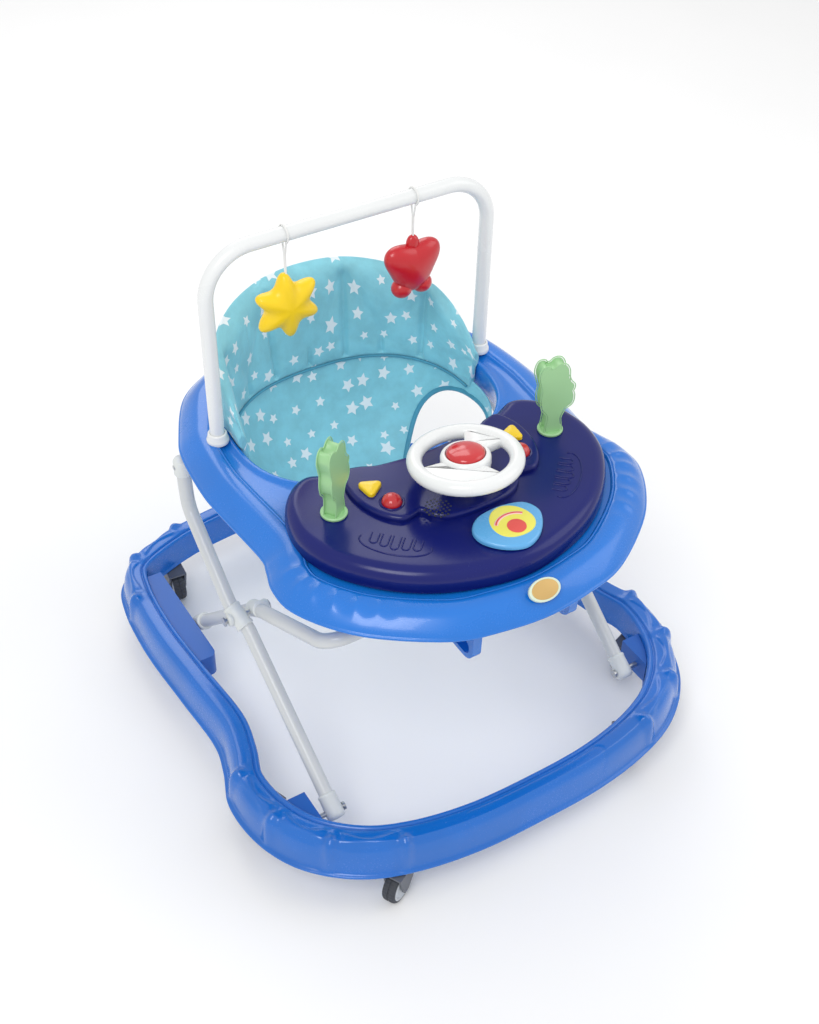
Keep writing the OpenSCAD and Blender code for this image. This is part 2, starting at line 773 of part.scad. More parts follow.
module bar_collars() {
  color([0.9, 0.91, 0.92]) pair() translate([bar_w / 2, bar_y, bar_foot]) difference() {
    union() {
      cylinder(r = tube_r + 3, h = 10);
      cylinder(r1 = tube_r + 4.5, r2 = tube_r + 3, h = 3);
    }
    translate([0, 0, -eps]) cylinder(r = tube_r + 0.02, h = 12);
  }
}

toy_z = 598;
star_x = -93;
heart_x = 87;

// A puffed solid: an outline given by its radius at each angle, thick in the middle
module puffed(radii, thick) {
  m = len(radii);
  levels = [-1, -0.75, -0.3, 0.3, 0.75, 1];
  function share(k) = pow(1 - pow(abs(levels[k]), 2.2), 0.5);
  points = [for (k = [0:5]) for (i = [0:m - 1])
    let (a = 360 * i / m, r = radii[i] * (0.35 + 0.65 * share(k)))
    [r * cos(a), levels[k] * thick / 2, r * sin(a)]];
  polyhedron(points, tube_faces(6, m));
}

module star() {
  color([0.95, 0.78, 0.1]) translate([star_x, bar_y, toy_z]) rotate([0, 12, 0])
    puffed([for (i = [0:47]) star_r * (0.78 + 0.22 * cos(6 * (i * 7.5 - 90)))], 32);
}

module heart() {
  color([0.78, 0.15, 0.18]) translate([heart_x, bar_y, toy_z]) puffed(
    [for (i = [0:47]) let (a = i * 7.5)
      heart_r * (0.9 - 0.12 * sin(a) + 0.14 * abs(cos(a)) - (a > 180 ? 0.05 * pow(sin(a), 8) : 0))], 34);
}

// A cord loop round the bar, with its tail down to the top of the toy
module toy_cord(x, top) {
  color([0.95, 0.95, 0.95]) {
    translate([x, bar_y, bar_z]) rotate([0, 90, 0]) rotate_extrude($fn = 48)
      translate([tube_r + 1.8, 0]) circle(1.1, $fn = 16);
    translate([x, bar_y, top]) cylinder(r = 1.2, h = bar_z - tube_r - 1.8 - top);
  }
}

/* ---- Seat ---- */

// How far the pad's inner face stands inside the seat opening
pad_in = 6;

// Height of the backrest's upper edge over the deck, by direction from the opening's middle
function back_edge(a) = 6 + (back_h - 6) * pow(max(0, sin(a)), 0.6);

// How far the pad's outer face stands outside the seat opening: least beside the toy bar's posts
function back_out(a) = 2 + (pad_t - pad_in - 2) * min(1, max(0, (sin(a) - 0.17) / 0.33));

module seat_back() {
  steps = 40;
  section = [[0, 0], [0, 0.5], [0, 0.97], [0.3, 1.02], [0.7, 1.02], [1, 0.97], [1, 0.5], [1, 0.12], [1, 0]];
  points = [for (i = [0:steps]) let (a = 2 + 176 * i / steps) for (s = section)
    let (h = back_edge(a) * s[1])
    let (d = pad_in * (1 - s[0]) - back_out(a) * s[0] - max(0, h - 12) * 0.14 * pow(sin(a), 2))
    let (q = open_point(a, d)) [q[0], q[1], deck_z + 3.5 + h]];
  color([0.55, 0.8, 0.87]) polyhedron(points, tube_faces(steps + 1, len(section)));
}

// Bowl of the seat: share of the opening's radius, and height as a share of the depth
bowl_rows = [[0.976, 0.97], [0.971, 0.85], [0.935, 0.68], [0.87, 0.48], [0.78, 0.29], [0.63, 0.13], [0.42, 0.03], [0.2, 0]];
bowl_n = 40;
function bowl_point(k, i, inner) =
  let (a = 360 * i / bowl_n, row = bowl_rows[k])
  let (r = open_radius(a) * row[0] - (inner ? 3.5 : 0), up = inner ? 3.5 * (1 - row[1]) : 0)
  [r * cos(a), open_y - 14 * (1 - row[1]) + r * sin(a), seat_z + (deck_z - 1 - seat_z) * row[1] + up];

// True where the cell is fabric, false where a leg passes through
function cloth(k, i) =
  let (a = 360 * (i + 0.5) / bowl_n)
  !((k >= 1 && k <= 4) && ((a > 188 && a < 252) || (a > 288 && a < 352)));

module seat_bucket() {
  rows = len(bowl_rows);
  n = bowl_n;
  layer = rows * n;
  points = concat(
    [for (k = [0:rows - 1]) for (i = [0:n - 1]) bowl_point(k, i, false)],
    [for (k = [0:rows - 1]) for (i = [0:n - 1]) bowl_point(k, i, true)]);
  function v(k, i, s) = s * layer + k * n + (i + n) % n;
  function wall_face(p, q) = [[p, p + layer, q + layer], [p, q + layer, q]];
  sheet = [for (k = [0:rows - 2]) for (i = [0:n - 1]) if (cloth(k, i))
    each [
      [v(k, i, 0), v(k + 1, i + 1, 0), v(k + 1, i, 0)], [v(k, i, 0), v(k, i + 1, 0), v(k + 1, i + 1, 0)],
      [v(k, i, 1), v(k + 1, i, 1), v(k + 1, i + 1, 1)], [v(k, i, 1), v(k + 1, i + 1, 1), v(k, i + 1, 1)]
    ]];
  rim = [for (i = [0:n - 1]) each wall_face(v(0, i, 0), v(0, i + 1, 0))];
  holes = [for (k = [0:rows - 2]) for (i = [0:n - 1]) if (!cloth(k, i)) each concat(
    cloth(k - 1, i) ? wall_face(v(k, i + 1, 0), v(k, i, 0)) : [],
    cloth(k + 1, i) ? wall_face(v(k + 1, i, 0), v(k + 1, i + 1, 0)) : [],
    cloth(k, (i + n - 1) % n) ? wall_face(v(k, i, 0), v(k + 1, i, 0)) : [],
    cloth(k, (i + 1) % n) ? wall_face(v(k + 1, i + 1, 0), v(k, i + 1, 0)) : [])];
  floors = [
    [for (i = [0:n - 1]) v(rows - 1, i, 0)],
    [for (i = [n - 1:-1:0]) v(rows - 1, i, 1)]
  ];
  color([0.5, 0.76, 0.84]) polyhedron(points, concat(sheet, rim, holes, floors));
}

// Clips that hold the seat's hem under the tray
module seat_clips() {
  color([0.88, 0.89, 0.9]) for (a = [20, 60, 120, 160, 215, 325])
    let (q = open_point(a, -10))
    translate([q[0], q[1], tray_z + 4]) rotate([0, 0, a]) translate([-5, -8, 0]) cube([8, 16, 8]);
}

base_ring();
caster_sockets();
front_brackets();
leg_foot_pins();
side_rails();
base_screws();
caster_housing_cut(0);  // caster_front_left
caster_housing_cut(1);  // caster_front_right
caster_housing_cut(2);  // caster_side_left
caster_housing_cut(3);  // caster_side_right
caster_housing_cut(4);  // caster_rear_left
caster_housing_cut(5);  // caster_rear_right
caster_wheel(0);  // wheel_front_left
caster_wheel(1);  // wheel_front_right
caster_wheel(2);  // wheel_side_left
caster_wheel(3);  // wheel_side_right
caster_wheel(4);  // wheel_rear_left
caster_wheel(5);  // wheel_rear_right
leg_tube(-1);  // leg_left
leg_tube(1);  // leg_right
leg_foot_caps();
leg_top_caps();
leg_saddles();
front_frame();
slider_ends();
frame_saddles();
cross_rivets();
tray_shell();
hinge_brackets();
hinge_pins();
height_rack();
release_button();
play_panel();
panel_base();
battery_door();
batteries();
circuit_board();
speaker();
tray_badge();
steering_column();
steering_wheel();
horn_button();
yellow_button(-1);  // yellow_button_left
yellow_button(1);  // yellow_button_right
red_button(-1);  // red_button_left
red_button(1);  // red_button_right
song_plate();
figure(-1);  // figure_left
figure(1);  // figure_right
toy_bar();
bar_collars();
star();
toy_cord(star_x, toy_z + star_r);  // star_cord
heart();
toy_cord(heart_x, toy_z + heart_r * 0.9);  // heart_cord
seat_back();
seat_bucket();
seat_clips();
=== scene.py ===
"""A baby walker's looks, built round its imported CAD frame. Metres, floor at z = 0, front at -Y."""

import json
import math

import bpy
import numpy as np
from mathutils import Matrix, Vector


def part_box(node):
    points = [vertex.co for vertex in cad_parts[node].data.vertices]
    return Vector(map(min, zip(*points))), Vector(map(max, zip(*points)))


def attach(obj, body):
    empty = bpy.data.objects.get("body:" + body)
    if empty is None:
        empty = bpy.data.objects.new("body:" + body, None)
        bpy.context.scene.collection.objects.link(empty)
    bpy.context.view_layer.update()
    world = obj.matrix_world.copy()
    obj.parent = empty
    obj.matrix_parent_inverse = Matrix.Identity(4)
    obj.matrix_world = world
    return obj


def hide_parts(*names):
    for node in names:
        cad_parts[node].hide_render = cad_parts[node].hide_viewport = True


bl_info = {
    "name": "Baby walker looks",
    "version": (1, 0, 0),
    "blender": (4, 5, 0),
    "location": "View3D > Sidebar > Walker",
    "description": "Builds the moulded, metal and fabric pieces of a baby walker on its CAD frame",
    "category": "Add Mesh",
}

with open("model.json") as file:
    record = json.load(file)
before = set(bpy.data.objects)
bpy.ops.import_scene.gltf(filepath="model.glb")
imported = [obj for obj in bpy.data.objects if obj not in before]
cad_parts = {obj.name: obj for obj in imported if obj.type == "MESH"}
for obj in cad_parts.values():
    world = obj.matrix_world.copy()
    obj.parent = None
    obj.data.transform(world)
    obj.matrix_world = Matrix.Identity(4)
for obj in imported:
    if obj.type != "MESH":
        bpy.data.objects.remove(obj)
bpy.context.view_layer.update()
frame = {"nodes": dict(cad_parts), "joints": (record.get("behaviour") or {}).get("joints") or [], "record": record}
MM = 0.001


def srgb(red, green, blue):
    """A screen colour, 0 to 255 a channel, as linear light."""
    return tuple(((c / 255 + 0.055) / 1.055) ** 2.4 if c > 10 else c / 255 / 12.92 for c in (red, green, blue))


def size(name, default, about):
    return bpy.props.FloatProperty(name=name, description=about, default=default, unit="LENGTH", precision=4)


def tint(name, default, about):
    return bpy.props.FloatVectorProperty(
        name=name, description=about, default=default, subtype="COLOR", min=0, max=1, size=3
    )


class WalkerSizes(bpy.types.PropertyGroup):
    """Sizes of the details that are added to the CAD shapes."""

    knuckle: size("Knuckle height", 7 * MM, "Height of the round knuckles on the base ring")
    knuckle_r: size("Knuckle radius", 8 * MM, "Radius of the round knuckles on the base ring")
    bone_rise: size("Bone rise", 2.4 * MM, "Rise of the waisted panels between two knuckles")
    capsule_half: size("Capsule half length", 108 * MM, "Half length of the capsule outline on the front")
    flute: size("Flute depth", 2.6 * MM, "Depth of the flutes in the tray's front corners")
    panel_round: size("Panel rounding", 17 * MM, "Width of the rounded edge of the play panel")
    console_rise: size("Console rise", 8 * MM, "Height of the button console over the play panel")
    seam_tuck: size("Seam tuck", 8 * MM, "How far a sewn seam is drawn into the backrest")
    piping: size("Piping radius", 2 * MM, "Radius of the piping under the backrest")
    binding: size("Binding radius", 3.6 * MM, "Radius of the bound edge round a leg hole")
    star_print: size("Star size", 12 * MM, "Point radius of the largest printed star")


class WalkerColours(bpy.types.PropertyGroup):
    """Colours of the walker's finishes."""

    ring: tint("Base blue", srgb(12, 104, 196), "Base ring")
    inner: tint("Guide blue", srgb(16, 92, 180), "Blocks and guides inside the ring")
    tray: tint("Tray blue", srgb(18, 114, 208), "Tray")
    navy: tint("Navy", srgb(14, 24, 102), "Play panel")
    steel: tint("Tube grey", srgb(203, 206, 207), "Coated steel tube")
    cap: tint("Cap white", srgb(216, 220, 219), "Plastic caps and saddles")
    white: tint("White", srgb(232, 234, 234), "Steering wheel and toy bar")
    red: tint("Red", srgb(200, 40, 46), "Buttons and horn")
    yellow: tint("Yellow", srgb(242, 205, 8), "Triangle buttons")
    green: tint("Green", srgb(160, 208, 152), "Spinning figures")
    sky: tint("Sky blue", srgb(92, 168, 222), "Song plate")
    aqua: tint("Aqua", srgb(134, 206, 222), "Seat fabric")
    teal: tint("Teal", srgb(70, 150, 178), "Bindings and seams of the seat")
    print_white: tint("Star print", srgb(240, 246, 250), "Printed stars on the seat fabric")
    star: tint("Star yellow", srgb(246, 208, 10), "Hanging star")
    heart: tint("Heart red", srgb(196, 24, 36), "Hanging heart")
    gold: tint("Badge gold", srgb(206, 170, 106), "Badge field")
    grey: tint("Caster grey", srgb(92, 96, 106), "Caster housings")
    rubber: tint("Tread grey", srgb(58, 62, 70), "Caster treads")


# ---------------------------------------------------------------- shapes


def closed_curve(knots, per):
    """Smooth closed curve through the knots: the cubic through four neighbours, per points a knot."""
    k = np.asarray(knots, float)
    t = np.linspace(0, 1, per, endpoint=False)[None, :, None]
    a, b, c, d = (np.roll(k, s, axis=0)[:, None, :] for s in (1, 0, -1, -2))
    cubic = 2 * b + (c - a) * t + (2 * a - 5 * b + 4 * c - d) * t**2 + (3 * b - a - 3 * c + d) * t**3
    return (cubic / 2).reshape(-1, k.shape[1])


def open_curve(knots, per):
    """Smooth open curve through the knots, with its ends repeated as their own neighbours."""
    k = np.asarray(knots, float)
    k = np.vstack([2 * k[0] - k[1], k, 2 * k[-1] - k[-2]])
    t = np.linspace(0, 1, per, endpoint=False)[None, :, None]
    a, b, c, d = (k[s : len(k) - 3 + s, None, :] for s in range(4))
    cubic = 2 * b + (c - a) * t + (2 * a - 5 * b + 4 * c - d) * t**2 + (3 * b - a - 3 * c + d) * t**3
    return np.vstack([(cubic / 2).reshape(-1, k.shape[1]), k[-2]])


def both_sides(half):
    """A half outline from the front middle to the rear middle, and its mirror image back."""
    half = np.asarray(half, float)
    return np.vstack([half, half[-2:0:-1] * [-1, 1]])


def even(path, count, closed=True):
    """The same line with count points at equal steps of arc length."""
    p = np.vstack([path, path[:1]]) if closed else np.asarray(path, float)
    s = np.concatenate([[0], np.cumsum(np.linalg.norm(np.diff(p, axis=0), axis=1))])
    at = np.linspace(0, s[-1], count, endpoint=not closed)
    return np.stack([np.interp(at, s, p[:, i]) for i in range(p.shape[1])], 1)


def inward(path):
    """Unit normals pointing into a closed anticlockwise outline."""
    t = np.roll(path, -1, axis=0) - np.roll(path, 1, axis=0)
    t /= np.linalg.norm(t, axis=1)[:, None]
    return np.stack([-t[:, 1], t[:, 0]], 1)


def grid_faces(rows, cols, close_rows=False, close_cols=False):
    """Four-sided faces of a grid of points stored row by row."""
    i = np.arange(rows if close_rows else rows - 1)[:, None]
    j = np.arange(cols if close_cols else cols - 1)[None, :]
    i2, j2 = (i + 1) % rows, (j + 1) % cols
    quads = np.stack(np.broadcast_arrays(i * cols + j, i * cols + j2, i2 * cols + j2, i2 * cols + j), -1)
    return quads.reshape(-1, 4)


def enclosed(points, faces):
    """Signed volume: positive where the faces point outwards."""
    total = 0.0
    for f in faces:
        f = np.asarray(f)
        a = points[f[..., 0]]
        for k in range(1, f.shape[-1] - 1):
            total += np.sum(a * np.cross(points[f[..., k]], points[f[..., k + 1]]))
    return total


def outwards(points, faces):
    """The same closed surface with its faces turned outwards."""
    if enclosed(points, faces) < 0:
        faces = [np.asarray(f)[..., ::-1] for f in faces]
    return points, faces


def skin(grid, close_rows=False, close_cols=False, caps=False):
    """A surface from a grid of points; caps closes its first and last rows."""
    rows, cols = grid.shape[:2]
    faces = [grid_faces(rows, cols, close_rows, close_cols)]
    if caps:
        faces += [np.arange(cols)[::-1][None], (np.arange(cols) + (rows - 1) * cols)[None]]
    return outwards(grid.reshape(-1, 3), faces)


def merged(surfaces):
    """Several surfaces as one list of points and faces."""
    points, faces, start = [], [], 0
    for p, f in surfaces:
        points.append(p)
        faces += [np.asarray(x) + start for x in f]
        start += len(p)
    return np.vstack(points), faces


def carried(outline, section, caps=True):
    """A closed plan outline carried up a section of (inset, height) in millimetres: a rounded plate."""
    normal = inward(outline)
    section = np.asarray(section, float) * MM
    plan = outline[None] + normal[None] * section[:, 0, None, None]
    height = np.broadcast_to(section[:, 1, None, None], plan.shape[:2] + (1,))
    return skin(np.concatenate([plan, height], 2), close_cols=True, caps=caps)


def pillow(outline, low, high, rounding, crown=0.0, steps=9):
    """A plate whose upper edge is a quarter ellipse and whose top swells by crown at its middle."""
    a = np.linspace(0, math.pi / 2, steps)
    section = [(0, low)] + [(rounding * (1 - math.cos(x)), high - rounding * (1 - math.sin(x))) for x in a]
    centre = outline.mean(0)
    normal = inward(outline)
    rows = [np.c_[outline + normal * d, np.full(len(outline), z)] for d, z in section]
    inner = outline + normal * rounding
    for share in np.linspace(0.92, 0.04, 14):
        plan = centre + (inner - centre) * share
        rows.append(np.c_[plan, np.full(len(plan), high + crown * (1 - share**2))])
    return skin(np.stack(rows), close_cols=True, caps=True)


def tube(path, radius, sides=20, closed=False):
    """A round tube of one radius, or of one radius a point, along a line, with a frame that doesn't twist."""
    p = np.asarray(path, float)
    t = np.roll(p, -1, 0) - np.roll(p, 1, 0) if closed else np.gradient(p, axis=0)
    t /= np.linalg.norm(t, axis=1)[:, None]
    side = np.cross(t[0], [0, 0, 1.0]) if abs(t[0, 2]) < 0.9 else np.cross(t[0], [1.0, 0, 0])
    sides_at = []
    for d in t:
        side = side - d * (side @ d)
        side = side / np.linalg.norm(side)
        sides_at.append(side)
    u = np.stack(sides_at)
    v = np.cross(t, u)
    a = np.linspace(0, 2 * math.pi, sides, endpoint=False)
    r = np.broadcast_to(np.asarray(radius, float), (len(p),))[:, None, None]
    ring = np.cos(a)[None, :, None] * u[:, None] + np.sin(a)[None, :, None] * v[:, None]
    return skin(p[:, None] + r * ring, close_rows=closed, close_cols=True, caps=not closed)


def turned(profile, centre, axis=(0, 0, 1), sides=64, closed=False):
    """A profile of (radius, height) in millimetres turned about an axis through centre."""
    axis = np.asarray(axis, float) / np.linalg.norm(axis)
    side = np.cross(axis, [0, 0, 1.0]) if abs(axis[2]) < 0.9 else np.cross(axis, [0, 1.0, 0])
    side /= np.linalg.norm(side)
    other = np.cross(axis, side)
    pr = np.asarray(profile, float) * MM
    a = np.linspace(0, 2 * math.pi, sides, endpoint=False)
    ring = np.cos(a)[None, :, None] * side + np.sin(a)[None, :, None] * other
    grid = np.asarray(centre) + pr[:, 0, None, None] * ring + pr[:, 1, None, None] * axis
    return skin(grid, close_rows=closed, close_cols=True, caps=not closed)


def ellipsoid(centre, radii, rows=20, cols=32):
    """A ball stretched to three radii, with its two poles closed by small caps."""
    v = np.linspace(0.04, math.pi - 0.04, rows)[:, None]
    u = np.linspace(0, 2 * math.pi, cols, endpoint=False)[None]
    grid = np.stack(np.broadcast_arrays(np.sin(v) * np.cos(u), np.sin(v) * np.sin(u), np.cos(v)), -1)
    return skin(grid * np.asarray(radii) + np.asarray(centre), close_cols=True, caps=True)


def placed(surface, rotation, move):
    """A surface turned by a 3 by 3 matrix and then moved."""
    points, faces = surface
    return points @ np.asarray(rotation, float).T + np.asarray(move, float), faces


def mirrored(surface):
    """The mirror image across X = 0, still facing outwards."""
    points, faces = surface
    return points * [-1, 1, 1], [np.asarray(f)[..., ::-1] for f in faces]


def tilt(degrees, axis="X"):
    return np.array(Matrix.Rotation(math.radians(degrees), 3, axis))


def piece(name, surfaces, body, finish, nodes=(), crease=40, uv=None):
    """Makes one mesh object of the surfaces, in a finish, and fixes it to a CAD body."""
    points, faces = merged(surfaces)
    mesh = bpy.data.meshes.new(name)
    mesh.from_pydata(points.tolist(), [], [row for f in faces for row in f.tolist()])
    mesh.update()
    mesh.shade_smooth()
    mesh.set_sharp_from_angle(angle=math.radians(crease))
    if uv is not None:
        corner = np.empty(len(mesh.loops), np.int32)
        mesh.loops.foreach_get("vertex_index", corner)
        mesh.uv_layers.new(name="cloth").data.foreach_set("uv", uv[corner].astype(np.float32).ravel())
    mesh.materials.append(FINISH[finish])
    made = bpy.data.objects.new(name, mesh)
    bpy.context.scene.collection.objects.link(made)
    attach(made, body)
    if nodes:
        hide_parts(*nodes)
    return made


# ---------------------------------------------------------------- finishes


def new_group(name, inputs, outputs):
    """A shader node group with float, vector or colour sockets."""
    group = bpy.data.node_groups.new(name, "ShaderNodeTree")
    for label, kind, value in inputs:
        socket = group.interface.new_socket(label, in_out="INPUT", socket_type="NodeSocket" + kind)
        if value is not None:
            socket.default_value = value
    for label, kind in outputs:
        group.interface.new_socket(label, in_out="OUTPUT", socket_type="NodeSocket" + kind)
    return group, group.nodes.new("NodeGroupInput"), group.nodes.new("NodeGroupOutput")


class Wiring:
    """Short calls for adding and joining nodes in one tree."""

    def __init__(self, tree):
        self.tree = tree

    def node(self, kind, settings=None, **sockets):
        made = self.tree.nodes.new("ShaderNode" + kind)
        for key, value in (settings or {}).items():
            setattr(made, key, value)
        for key, value in sockets.items():
            self.feed(made.inputs[key.replace("_", " ")], value)
        return made

    def feed(self, socket, value):
        if isinstance(value, bpy.types.NodeSocket):
            self.tree.links.new(value, socket)
        else:
            socket.default_value = value

    def math(self, operation, first, second=0.0, third=0.0):
        made = self.node("Math", {"operation": operation})
        for socket, value in zip(made.inputs, (first, second, third)):
            self.feed(socket, value)
        return made.outputs[0]

    def span(self, value, low, high, to_low=0.0, to_high=1.0, smooth=False):
        made = self.node("MapRange", {"interpolation_type": "SMOOTHSTEP" if smooth else "LINEAR"})
        for socket, v in zip(made.inputs, (value, low, high, to_low, to_high)):
            self.feed(socket, v)
        return made.outputs[0]

    def mix(self, share, first, second):
        made = self.node("Mix", {"data_type": "RGBA"})
        for index, value in ((0, share), (6, first), (7, second)):
            self.feed(made.inputs[index], value)
        return made.outputs[2]


def moulded_group():
    """Moulded plastic: slow cloudiness of the colour, fine scuffs and a faint ripple of the gloss."""
    group, start, end = new_group(
        "moulded_skin",
        [("Place", "Vector", None), ("Cloud scale", "Float", 9.0), ("Ripple scale", "Float", 38.0)],
        [("Cloud", "Float"), ("Scuff", "Float"), ("Ripple", "Float")],
    )
    w = Wiring(group)
    cloud = w.node("TexNoise", Vector=start.outputs[0], Scale=start.outputs[1], Detail=3.0)
    ripple = w.node("TexNoise", Vector=start.outputs[0], Scale=start.outputs[2], Detail=1.0)
    fine = w.node("TexNoise", Vector=start.outputs[0], Scale=420.0, Detail=4.0, Roughness=0.7)
    w.feed(end.inputs[0], w.span(cloud.outputs[0], 0.3, 0.7, smooth=True))
    w.feed(end.inputs[1], w.span(fine.outputs[0], 0.56, 0.72, smooth=True))
    w.feed(end.inputs[2], ripple.outputs[0])
    return group


def weave_group():
    """Woven cloth: two crossed sets of threads, each over and under the other, and a soft crease pattern that the cloth
    uses both as relief and as painted shade and highlight.
    """
    group, start, end = new_group(
        "woven_threads",
        [("Place", "Vector", None), ("Threads a metre", "Float", 1400.0)],
        [("Height", "Float"), ("Crease and shade", "Float")],
    )
    w = Wiring(group)
    split = w.node("SeparateXYZ", Vector=start.outputs[0])
    waves = []
    for axis in (0, 1):
        turn = w.math("MULTIPLY", w.math("MULTIPLY", split.outputs[axis], start.outputs[1]), math.pi)
        waves.append(w.math("SINE", turn))
    product = w.math("MULTIPLY", waves[0], waves[1])
    # crease pattern: the bump's relief, and also painted shade in its hollows and painted highlight on its ridges
    crease = w.node("TexNoise", Vector=start.outputs[0], Scale=26.0, Detail=4.0, Roughness=0.6)
    w.feed(end.inputs[0], w.span(product, -1, 1))
    w.feed(end.inputs[1], w.span(crease.outputs[0], 0.3, 0.7, smooth=True))
    return group


def star_group():
    """Printed five-pointed stars: one in each cell of a jittered net, with its own size and turn."""
    group, start, end = new_group(
        "star_print",
        [("Place", "Vector", None), ("Cells a metre", "Float", 26.0), ("Point radius", "Float", 0.3)],
        [("Mask", "Float")],
    )
    w = Wiring(group)
    cell = w.node("TexVoronoi", {"voronoi_dimensions": "2D"}, Vector=start.outputs[0], Randomness=0.55)
    w.feed(cell.inputs["Scale"], start.outputs[1])
    scaled = w.node("VectorMath", {"operation": "SCALE"})
    w.feed(scaled.inputs[0], start.outputs[0])
    w.feed(scaled.inputs["Scale"], start.outputs[1])
    centre = w.node("VectorMath", {"operation": "SCALE"})
    w.feed(centre.inputs[0], cell.outputs["Position"])
    w.feed(centre.inputs["Scale"], start.outputs[1])
    offset = w.node("VectorMath", {"operation": "SUBTRACT"})
    w.feed(offset.inputs[0], scaled.outputs[0])
    w.feed(offset.inputs[1], centre.outputs[0])
    part = w.node("SeparateXYZ", Vector=offset.outputs[0])
    chance = w.node("SeparateColor", Color=cell.outputs["Color"])
    away = w.math("SQRT", w.math("ADD", w.math("POWER", part.outputs[0], 2.0), w.math("POWER", part.outputs[1], 2.0)))
    angle = w.math("ADD", w.math("ARCTAN2", part.outputs[1], part.outputs[0]), w.math("MULTIPLY", chance.outputs[0], 6.3))
    fifth = 2 * math.pi / 5
    folded = w.math("ABSOLUTE", w.math("SUBTRACT", w.math("FLOORED_MODULO", angle, fifth), fifth / 2))
    inner = 0.5
    reach = w.math("MULTIPLY", start.outputs[2], w.span(chance.outputs[1], 0, 1, 0.55, 1.0))
    # the edge from the outer point to the inner corner, as one straight line in polar form
    run = 1 - inner * math.cos(fifth / 2)
    rise = inner * math.sin(fifth / 2)
    length = math.hypot(run, rise)
    lean = math.atan2(run, rise)
    turn = w.math("SUBTRACT", fifth / 2, folded)
    edge = w.math("MULTIPLY", away, w.math("COSINE", w.math("SUBTRACT", turn, lean)))
    limit = w.math("MULTIPLY", reach, rise / length)
    w.feed(end.inputs[0], w.span(w.math("DIVIDE", edge, limit), 0.92, 1.06, 1.0, 0.0, smooth=True))
    return group


GROUPS = {}


def shared(name):
    """One copy of each shader node group, made when it is first asked for."""
    if name not in GROUPS:
        GROUPS[name] = {"moulded": moulded_group, "weave": weave_group, "stars": star_group}[name]()
    return GROUPS[name]


def blank_material(name):
    made = bpy.data.materials.new(name)
    made.use_nodes = True
    tree = made.node_tree
    shader = next(n for n in tree.nodes if n.type == "BSDF_PRINCIPLED")
    return made, Wiring(tree), shader


def shaded(colour, share):
    """A colour made lighter or darker by a share, with its alpha."""
    return tuple(min(1.0, c * share) for c in colour) + (1.0,)


def plastic(name, colour, rough=0.28, coat=0.0, depth=0.12, metal=0.0, spread=0.05, shine=0.5):
    """Moulded plastic, or painted or bright metal, with clouded colour, scuffed gloss and a faint ripple."""
    made, w, shader = blank_material(name)
    skin_nodes = w.node("Group", {"node_tree": shared("moulded")})
    place = w.node("TexCoord")
    w.feed(skin_nodes.inputs[0], place.outputs["Object"])
    cloud, scuff, ripple = skin_nodes.outputs
    w.feed(shader.inputs["Base Color"], w.mix(cloud, shaded(colour, 1 - spread), shaded(colour, 1 + spread)))
    gloss = w.math("ADD", w.span(cloud, 0, 1, rough - 0.03, rough + 0.03), w.math("MULTIPLY", scuff, 0.07))
    w.feed(shader.inputs["Roughness"], gloss)
    bump = w.node("Bump", Strength=depth, Distance=0.0006, Height=ripple)
    w.feed(shader.inputs["Normal"], bump.outputs[0])
    shader.inputs["Metallic"].default_value = metal
    shader.inputs["Specular IOR Level"].default_value = shine
    shader.inputs["Coat Weight"].default_value = coat
    shader.inputs["Coat Roughness"].default_value = 0.08
    return made


def cloth(name, colour, printed=None, star=0.0):
    """Woven satin with soft creases whose colour is painted darker in the hollows and lighter on the ridges as painted
    shade and highlight, and printed stars where a print colour is given.
    """
    made, w, shader = blank_material(name)
    place = w.node("TexCoord").outputs["UV"]
    threads = w.node("Group", {"node_tree": shared("weave")})
    w.feed(threads.inputs[0], place)
    crease_and_shade = threads.outputs["Crease and shade"]
    # painted shade and highlight: the colour follows the crease relief, darker in the hollows and lighter on the ridges
    base = w.mix(crease_and_shade, shaded(colour, 0.9), shaded(colour, 1.07))
    if printed is not None:
        cells = 27.0
        stars = w.node("Group", {"node_tree": shared("stars")})
        w.feed(stars.inputs[0], place)
        stars.inputs[1].default_value = cells
        stars.inputs[2].default_value = star * cells
        base = w.mix(w.math("MULTIPLY", stars.outputs[0], 0.86), base, shaded(printed, 1.0))
    w.feed(shader.inputs["Base Color"], base)
    w.feed(shader.inputs["Roughness"], w.span(crease_and_shade, 0, 1, 0.5, 0.62))
    fine = w.node("Bump", Strength=0.25, Distance=0.0003, Height=threads.outputs["Height"])
    creased = w.node("Bump", Strength=0.3, Distance=0.0022, Height=crease_and_shade, Normal=fine.outputs[0])
    w.feed(shader.inputs["Normal"], creased.outputs[0])
    shader.inputs["Sheen Weight"].default_value = 0.25
    shader.inputs["Sheen Roughness"].default_value = 0.4
    return made


FINISH = {}


